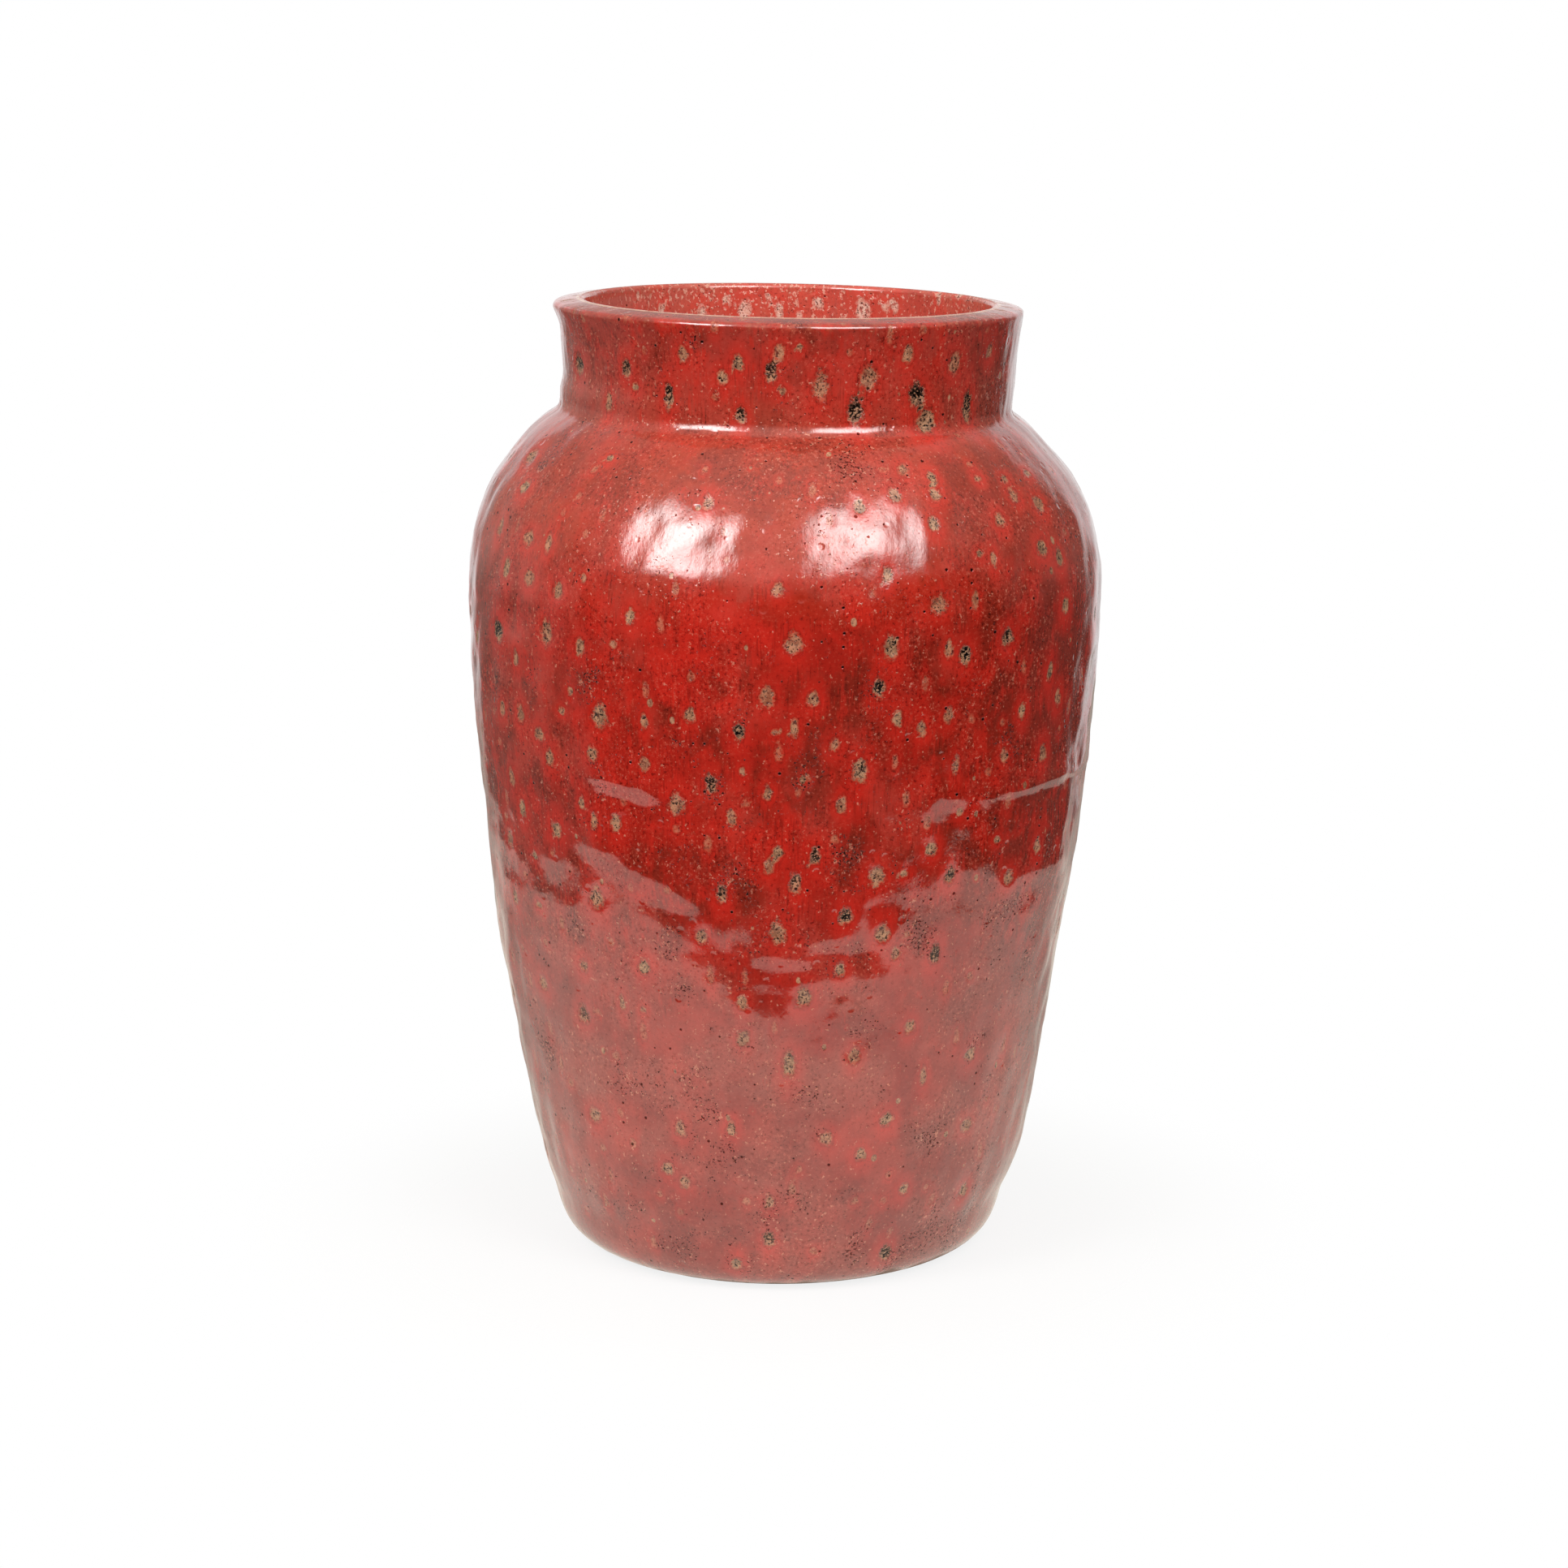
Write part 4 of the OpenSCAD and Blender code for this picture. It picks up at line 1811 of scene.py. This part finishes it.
@dataclass
class GlazeCoat:
    """One coat of glaze, outside or inside, with its craters.

    Attributes:
        node: Name of the coat's solid.
        slot: The record's material slot; not used.
        face: The face that is seen.
        form: The hand-made form.
        finish: The coat's finish.
        step: Step of the mesh along the profile.
        columns: Number of vertices around.
        seed: Start of the random numbers for its craters.
        scattered: Number of craters scattered at random.
        front: Azimuth up to which only small craters are scattered on the outer coat.
        front_strength: Share of their strength that those keep.
        hidden_step: Step of the mesh along the faces that aren't seen.
        edges: How the coat ends at lip and foot.
    """

    node: str
    slot: str
    face: Face
    form: HandForm
    finish: GlazeFinish
    step: float
    columns: int
    seed: int
    scattered: int
    front: float = math.radians(72)
    front_strength: float = 0.5
    hidden_step: float = 14 * MM
    edges: GlazeEdges = GlazeEdges()

    SIZE_SPREAD = (0.88, 1.12)
    STRENGTH = (0.7, 1.0)
    PLACED_STRENGTH = (0.75, 1.0)
    LEAST_COSINE = 0.4
    WIDENING = 0.7
    TRIES = 8
    ROOM = 1.5
    PATCH_HEIGHT = 0.8

    def _placed(self, grid: Turned, random: np.random.Generator) -> list[Crater]:
        """The craters that the photo shows on the coat, wider where they are seen from the side.

        Args:
            grid: The coat's grid.
            random: Source of small differences in size.

        Returns:
            The craters.
        """
        along = grid.along[: grid.visible, 0]
        height = grid.profile[: grid.visible, 1]
        upward = np.argsort(height)
        found = []
        seen = FRONT_CRATERS if self.face is Face.OUTSIDE else MOUTH_CRATERS
        for kind, pixels in seen.items():
            for px, py in pixels:
                azimuth, low = self.form.spot(px, py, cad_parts[self.node])
                place = float(np.interp(low, height[upward], along[upward]))
                crater = self._crater(kind, azimuth, place, random)
                cosine = max(abs(math.cos(azimuth)), self.LEAST_COSINE)
                wider = crater.half_width / cosine**self.WIDENING
                strength = random.uniform(*self.PLACED_STRENGTH)
                found.append(replace(crater, half_width=wider, strength=strength))
        return found

    def _crater(
        self, kind: CraterKind, azimuth: float, along: float, random: np.random.Generator
    ) -> Crater:
        """One crater of a kind, a little larger or smaller than usual.

        Args:
            kind: The kind.
            azimuth: Azimuth of its centre.
            along: Distance of its centre along the profile.
            random: Source of the differences.

        Returns:
            The crater.
        """
        width = kind.width / 2 * random.uniform(*self.SIZE_SPREAD)
        length = kind.length / 2 * random.uniform(*self.SIZE_SPREAD)
        return Crater(azimuth, along, width, length, kind.soot, random.uniform(*self.STRENGTH))

    def craters(self, grid: Turned) -> list[Crater]:
        """The craters of the coat.

        Args:
            grid: The coat's grid.

        Returns:
            Placed craters, and scattered ones that keep away from them and from each other.
        """
        random = np.random.default_rng(self.seed)
        along = grid.along[: grid.visible, 0]
        radius = grid.profile[: grid.visible, 0]
        share = np.cumsum(radius)
        share = share / share[-1]
        outside = self.face is Face.OUTSIDE
        found = self._placed(grid, random)
        goal = len(found) + self.scattered
        everywhere = [kind for kind, pixels in FRONT_CRATERS.items() for _ in pixels]
        little = [CraterKind.SMALL, CraterKind.SLIM]
        for _ in range(self.scattered * self.TRIES):
            if len(found) == goal:
                break
            place = float(np.interp(random.uniform(), share, along))
            azimuth = random.uniform(-math.pi, math.pi)
            kinds = little if outside and abs(azimuth) < self.front else everywhere
            new = self._crater(kinds[random.integers(len(kinds))], azimuth, place, random)
            if kinds is little:
                new = replace(new, strength=self.front_strength * new.strength)
            if all(self._apart(new, old, along, radius) for old in found):
                found.append(new)
        return found

    def _apart(self, a: Crater, b: Crater, along: Array, radius: Array) -> bool:
        """Whether two craters leave room between them.

        Args:
            a: One crater.
            b: The other crater.
            along: Distance along the profile of each row.
            radius: Radius of each row.

        Returns:
            Whether they do.
        """
        turn = float(wrap(np.float64(a.azimuth - b.azimuth)))
        across = float(np.interp(a.along, along, radius)) * turn
        room = self.ROOM * (a.half_length + b.half_length)
        return math.hypot(across, a.along - b.along) > room

    def _grid(self) -> Turned:
        """The coat's grid, with closer rows at the lip, the belly joint, the neck and the foot.

        Returns:
            The grid.
        """
        top = self.form.height
        seam = self.form.seam.height
        joint = Band(low=seam - 13 * MM, high=seam + 13 * MM, times=2.0)
        lip = Band(low=top - 7 * MM, high=top + MM, times=4.0)
        inner_lip = Band(low=top - 5 * MM, high=top + MM, times=6.0)
        hidden = (
            Band(low=0.0, high=30 * MM, times=3.0),
            Band(low=0.330, high=0.375, times=4.0),
            Band(low=top - 6 * MM, high=top + MM, times=4.0),
        )
        inside = self.face is Face.INSIDE
        bands = (inner_lip,) if inside else (lip, joint)
        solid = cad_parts[self.node]
        return turned(solid, inside, self.step, self.hidden_step, self.columns, bands, hidden)

    def build(self) -> bpy.types.Object:
        """Turns the coat with its craters and stores what its material reads.

        Returns:
            The piece that stands for the coat's solid.
        """
        grid = self._grid()
        stamp = CraterStamp(grid, self.face, self.craters(grid))
        radius = grid.profile[:, :1] - self.face.value * stamp.depth
        height = grid.profile[:, 1:] + 0 * stamp.depth
        piece = add_piece(f"{self.node}_coat", self.form.place(grid.azimuth, radius, height), grid)
        # The fourth list of patches is partly painted sheen of softly mirrored lamps
        crowds, browns, brights, milk_and_sheen_patches = (
            self._patches(grid, patches)
            for patches in (FRONT_CROWDS, FRONT_BROWNS, FRONT_BRIGHTS, FRONT_MILK_AND_SHEEN)
        )
        thin = self._thin(grid) + 0 * stamp.depth
        add_field(piece, "pit", stamp.pit, grid)
        add_field(piece, "wear", np.stack([stamp.soot, thin, stamp.drip], axis=-1), grid)
        add_field(piece, "tint", np.stack([stamp.strength, self._bare(grid), crowds], axis=-1), grid)
        add_field(piece, "tone", np.stack([browns, brights, milk_and_sheen_patches], axis=-1), grid)
        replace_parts(piece, self.node)
        return piece

    def _thin(self, grid: Turned) -> Array:
        """How thin the glaze runs over the edges of the lip.

        Args:
            grid: The coat's grid.

        Returns:
            1 where it is thinnest, more on the inner edge's partly painted highlight line, for each
            row.
        """
        edges = self.edges
        top = self.form.height
        height = grid.profile[:, 1:]
        radius = grid.profile[:, :1]
        thin = np.exp(-(((height - (top - edges.thin_drop)) / edges.thin_width) ** 2))
        from_inner_edge = radius - radius[height > top - edges.lip].min()
        line = (height > top - edges.line_drop) & (from_inner_edge < edges.line_width)
        thin = np.where(line & (self.face is Face.OUTSIDE), edges.line, thin)
        thin[grid.visible :] = 0.0
        return thin

    def _bare(self, grid: Turned) -> Array:
        """How much of the clay shows at the foot, where the glaze ends, most of it at the right.

        Args:
            grid: The coat's grid.

        Returns:
            1 where the clay is bare, for each vertex.
        """
        edges = self.edges
        right = smooth_step((np.sin(grid.azimuth) - edges.right_from) / edges.right_rise)
        wave = self.form.waves["fine"].at(grid.azimuth, 0 * grid.azimuth)
        end = edges.bare + edges.bare_right * right + edges.wander * wave
        share = smooth_step((end - grid.profile[:, 1:]) / edges.blur + 0.5)
        return share if self.face is Face.OUTSIDE else 0 * share

    def _patches(self, grid: Turned, patches: tuple[Patch, ...]) -> Array:
        """How deep each vertex lies in one of the round patches of the outer coat.

        Args:
            grid: The coat's grid.
            patches: Pixel of the photo and size in millimetres of each patch.

        Returns:
            1 in the middle of a patch, fading outward, for each vertex.
        """
        total = np.zeros((len(grid.profile), self.columns))
        if self.face is Face.INSIDE:
            return total
        for px, py, size in patches:
            azimuth, height = self.form.spot(px, py)
            across = wrap(grid.azimuth - azimuth) * grid.profile[:, :1]
            upward = self.PATCH_HEIGHT * (grid.profile[:, 1:] - height)
            reach = np.hypot(across, upward) / (size * MM)
            total = np.maximum(total, np.exp(-(reach**2)))
        return total

    def dress(self) -> bpy.types.Object:
        """Builds the coat and gives it its finish.

        Returns:
            The piece.
        """
        piece = self.build()
        piece.data.materials.append(self.finish.material(f"{self.node}_finish"))
        return piece


@dataclass(frozen=True)
class SoftBox:
    """A soft studio lamp that looks at the vase.

    Attributes:
        name: Name of the lamp.
        azimuth: Its azimuth from the vase, in degrees.
        elevation: Its elevation from the vase, in degrees.
        distance: Its distance from the vase.
        width: Width of its face.
        height: Height of its face.
        power: Its power in watts, were it as bright all over as in its middle.
        edge: Share of its width and height over which it fades to its edges.
    """

    name: str
    azimuth: float
    elevation: float
    distance: float
    width: float
    height: float
    power: float
    edge: float = 0.40

    def build(self, target: Vector) -> bpy.types.Object:
        """Adds the lamp.

        Args:
            target: The point that it looks at.

        Returns:
            The lamp.
        """
        data = bpy.data.lights.new(self.name, "AREA")
        data.shape = "RECTANGLE"
        data.size = self.width
        data.size_y = self.height
        data.energy = self.power
        data.use_nodes = True
        g = Graph(data.node_tree)
        face = g.add("ShaderNodeNewGeometry").outputs["Parametric"]
        across, upward, _ = g.axes(face)
        shares = []
        for share in (across, upward):
            shares.append(g.rise(share, 0.0, self.edge))
            shares.append(g.fall(share, 1.0 - self.edge, 1.0))
        light = g.add("ShaderNodeEmission", {"Strength": g.times(*shares)})
        g.add("ShaderNodeOutputLight", {"Surface": light.outputs[0]})
        lamp = bpy.data.objects.new(self.name, data)
        turn = math.radians(self.azimuth)
        rise = math.radians(self.elevation)
        level = math.cos(rise)
        away = Vector((math.sin(turn) * level, -math.cos(turn) * level, math.sin(rise)))
        lamp.location = target + away * self.distance
        lamp.rotation_mode = "QUATERNION"
        lamp.rotation_quaternion = (-away).to_track_quat("-Z", "Y")
        bpy.context.scene.collection.objects.link(lamp)
        return lamp


@dataclass
class Studio:
    """The table, the lamps and the surroundings.

    Attributes:
        camera: The photo's camera.
        target: The point that the lamps look at.
        table_left: Left edge of the table.
        table_right: Right edge of the table.
        table_front: Front edge of the table.
        table_back: Back edge of the table.
        table_colour: Colour of the table.
        table_white: Share of plain white in what the camera sees of the table.
        table_fade: Distances from the vase's axis between which the table runs out into the white.
        room_colour: Colour of the light that the table and the room throw back.
        lamps: The lamps.
    """

    camera: PhotoCamera
    target: Vector
    table_left: float = -0.52
    table_right: float = 0.50
    table_front: float = -0.350
    table_back: float = 1.25
    table_colour: Colour = (0.86, 0.86, 0.86, 1.0)
    table_white: float = 0.84
    table_fade: tuple[float, float] = (0.11, 0.26)
    room_colour: Colour = (1.0, 0.96, 0.84, 1.0)
    lamps: tuple[SoftBox, ...] = (
        SoftBox(
            name="left_box", azimuth=-42.5, elevation=32.5, distance=1.3,
            width=0.84, height=0.90, power=25.4,
        ),
        SoftBox(
            name="right_box", azimuth=29.5, elevation=33.8, distance=1.3,
            width=1.02, height=1.00, power=27.4,
        ),
    )

    def build(self) -> None:
        """Adds camera, table, lamps and surroundings."""
        bpy.context.scene.view_settings.view_transform = "Standard"
        self.camera.build()
        self._table()
        for lamp in self.lamps:
            lamp.build(self.target)
        self._surroundings()

    def _table(self) -> None:
        """Adds the pale table top, which the camera sees only near the vase."""
        mesh = bpy.data.meshes.new("table")
        corners = [
            (self.table_left, self.table_front, 0.0),
            (self.table_right, self.table_front, 0.0),
            (self.table_right, self.table_back, 0.0),
            (self.table_left, self.table_back, 0.0),
        ]
        mesh.from_pydata(corners, [], [(0, 1, 2, 3)])
        table = bpy.data.objects.new("table", mesh)
        bpy.context.scene.collection.objects.link(table)
        mesh.materials.append(self._table_material())

    def _table_material(self) -> bpy.types.Material:
        """The table's material: lit by the lamps, and mirrored by the glaze with its own glow.

        Returns:
            The material.
        """
        material, g = new_material("pale_table")
        path = g.add("ShaderNodeLightPath").outputs
        seen = path["Is Camera Ray"]
        point = g.add("ShaderNodeNewGeometry").outputs["Position"]
        lit = g.add("ShaderNodeBsdfDiffuse", {"Color": self.table_colour}).outputs[0]
        white = g.add("ShaderNodeEmission", {"Color": WHITE, "Strength": 1.0}).outputs[0]
        plain = {0: g.times(seen, self.table_white), 1: lit, 2: white}
        plain = g.add("ShaderNodeMixShader", plain).outputs[0]

        _, depth, _ = g.axes(point)
        glow = g.plus(g.rise(depth, -0.05, 0.35, 1.0, 0.45), g.rise(depth, 0.20, 0.40, 0.0, 0.40))
        glow = g.plus(glow, g.rise(depth, 0.50, 0.64, 0.0, -0.40))
        warm = g.add("ShaderNodeEmission", {"Color": self.room_colour, "Strength": glow}).outputs[0]
        mirrored = {0: path["Is Glossy Ray"], 1: plain, 2: warm}
        mirrored = g.add("ShaderNodeMixShader", mirrored).outputs[0]

        away = g.add("ShaderNodeVectorMath", {0: point}, operation="LENGTH").outputs["Value"]
        gone = g.times(seen, g.rise(away, *self.table_fade))
        clear = g.add("ShaderNodeBsdfTransparent").outputs[0]
        shader = g.add("ShaderNodeMixShader", {0: gone, 1: mirrored, 2: clear})
        g.add("ShaderNodeOutputMaterial", {"Surface": shader.outputs[0]})
        return material

    def _surroundings(self) -> None:
        """A room with a pale ceiling and a white back wall, dim low down, and white to the camera."""
        world = bpy.data.worlds.new("room")
        world.use_nodes = True
        bpy.context.scene.world = world
        g = Graph(world.node_tree)
        direction = g.add("ShaderNodeTexCoord").outputs["Generated"]
        x, y, z = g.axes(direction)

        # The ceiling, dimmer at the sides and beyond the vase
        aside = g.times(g.rise(x, -0.95, -0.50, 0.65, 1.0), g.rise(x, 0.35, 0.90, 1.0, 0.45))
        dome = g.times(g.rise(z, -0.02, 0.55, 0.03, 0.80), g.rise(y, -0.35, 0.35, 1.0, 0.58), aside)

        # The walls beside the vase, paler at the left
        left = g.rise(x, -0.2, 0.2, 1.25, 0.5)
        side = g.times(g.rise(y, -0.35, 0.20, 0.05, 0.40), left, g.rise(z, -0.25, 0.05, 0.35, 1.0))

        # The white wall beyond the vase, which reaches further forward higher up
        upper = g.times(g.most(z, 0.0), g.rise(x, -0.3, 0.3, 0.36, 0.16))
        beyond = g.plus(y, g.rise(x, -0.6, 0.6, -0.11, -0.02), upper)
        lift = g.less(z, g.math("ABSOLUTE", x))
        behind = g.times(g.rise(beyond, 0.71, 0.86), g.rise(lift, 0.02, 0.16, 1.0, 0.45))

        seen = g.add("ShaderNodeLightPath").outputs["Is Camera Ray"]
        strength = g.most(g.most(dome, side), g.most(behind, seen))
        colour = g.mix(g.most(seen, behind), self.room_colour, WHITE)
        light = g.add("ShaderNodeBackground", {"Color": colour, "Strength": strength})
        g.add("ShaderNodeOutputWorld", {"Surface": light.outputs[0]})


def main() -> None:
    """Builds the studio and the vase, piece by piece."""
    logging.basicConfig(level=logging.INFO, format="%(name)s: %(message)s")
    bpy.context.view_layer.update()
    camera = PhotoCamera()
    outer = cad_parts["outer_glaze"]
    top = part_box("inner_glaze")[1].z
    form = HandForm(camera=camera, surface=outer, height=top, radius=WALL_RADIUS)

    Studio(camera=camera, target=Vector((0, 0, top * LAMP_AIM))).build()
    for piece in ClayWork(form).dress():
        log.info("%s: %d faces", piece.name, len(piece.data.polygons))
    # The inner coat is lighter and pinker than the outer: partly its glaze, partly painted sheen of
    # the inner wall
    liner = GlazeFinish(
        red=srgb(214, 87, 75),
        bright=srgb(224, 72, 58),
        brown=srgb(196, 96, 80),
        pale=srgb(232, 194, 176),
        olive=srgb(216, 150, 130),
        dark=srgb(170, 74, 60),
        soot=srgb(132, 52, 40),
        speck=srgb(236, 180, 158),
        specks=0.70,
    )
    coats = (
        GlazeCoat(
            node="outer_glaze", slot="red_glaze", face=Face.OUTSIDE, form=form, finish=GlazeFinish(),
            step=2.35 * MM, columns=368, seed=5, scattered=390,
        ),
        GlazeCoat(
            node="inner_glaze", slot="liner_glaze", face=Face.INSIDE, form=form, finish=liner,
            step=3.0 * MM, columns=260, seed=6, scattered=110,
        ),
    )
    for coat in coats:
        piece = coat.dress()
        log.info("%s: %d faces", piece.name, len(piece.data.polygons))


if __name__ == "__main__":
    main()
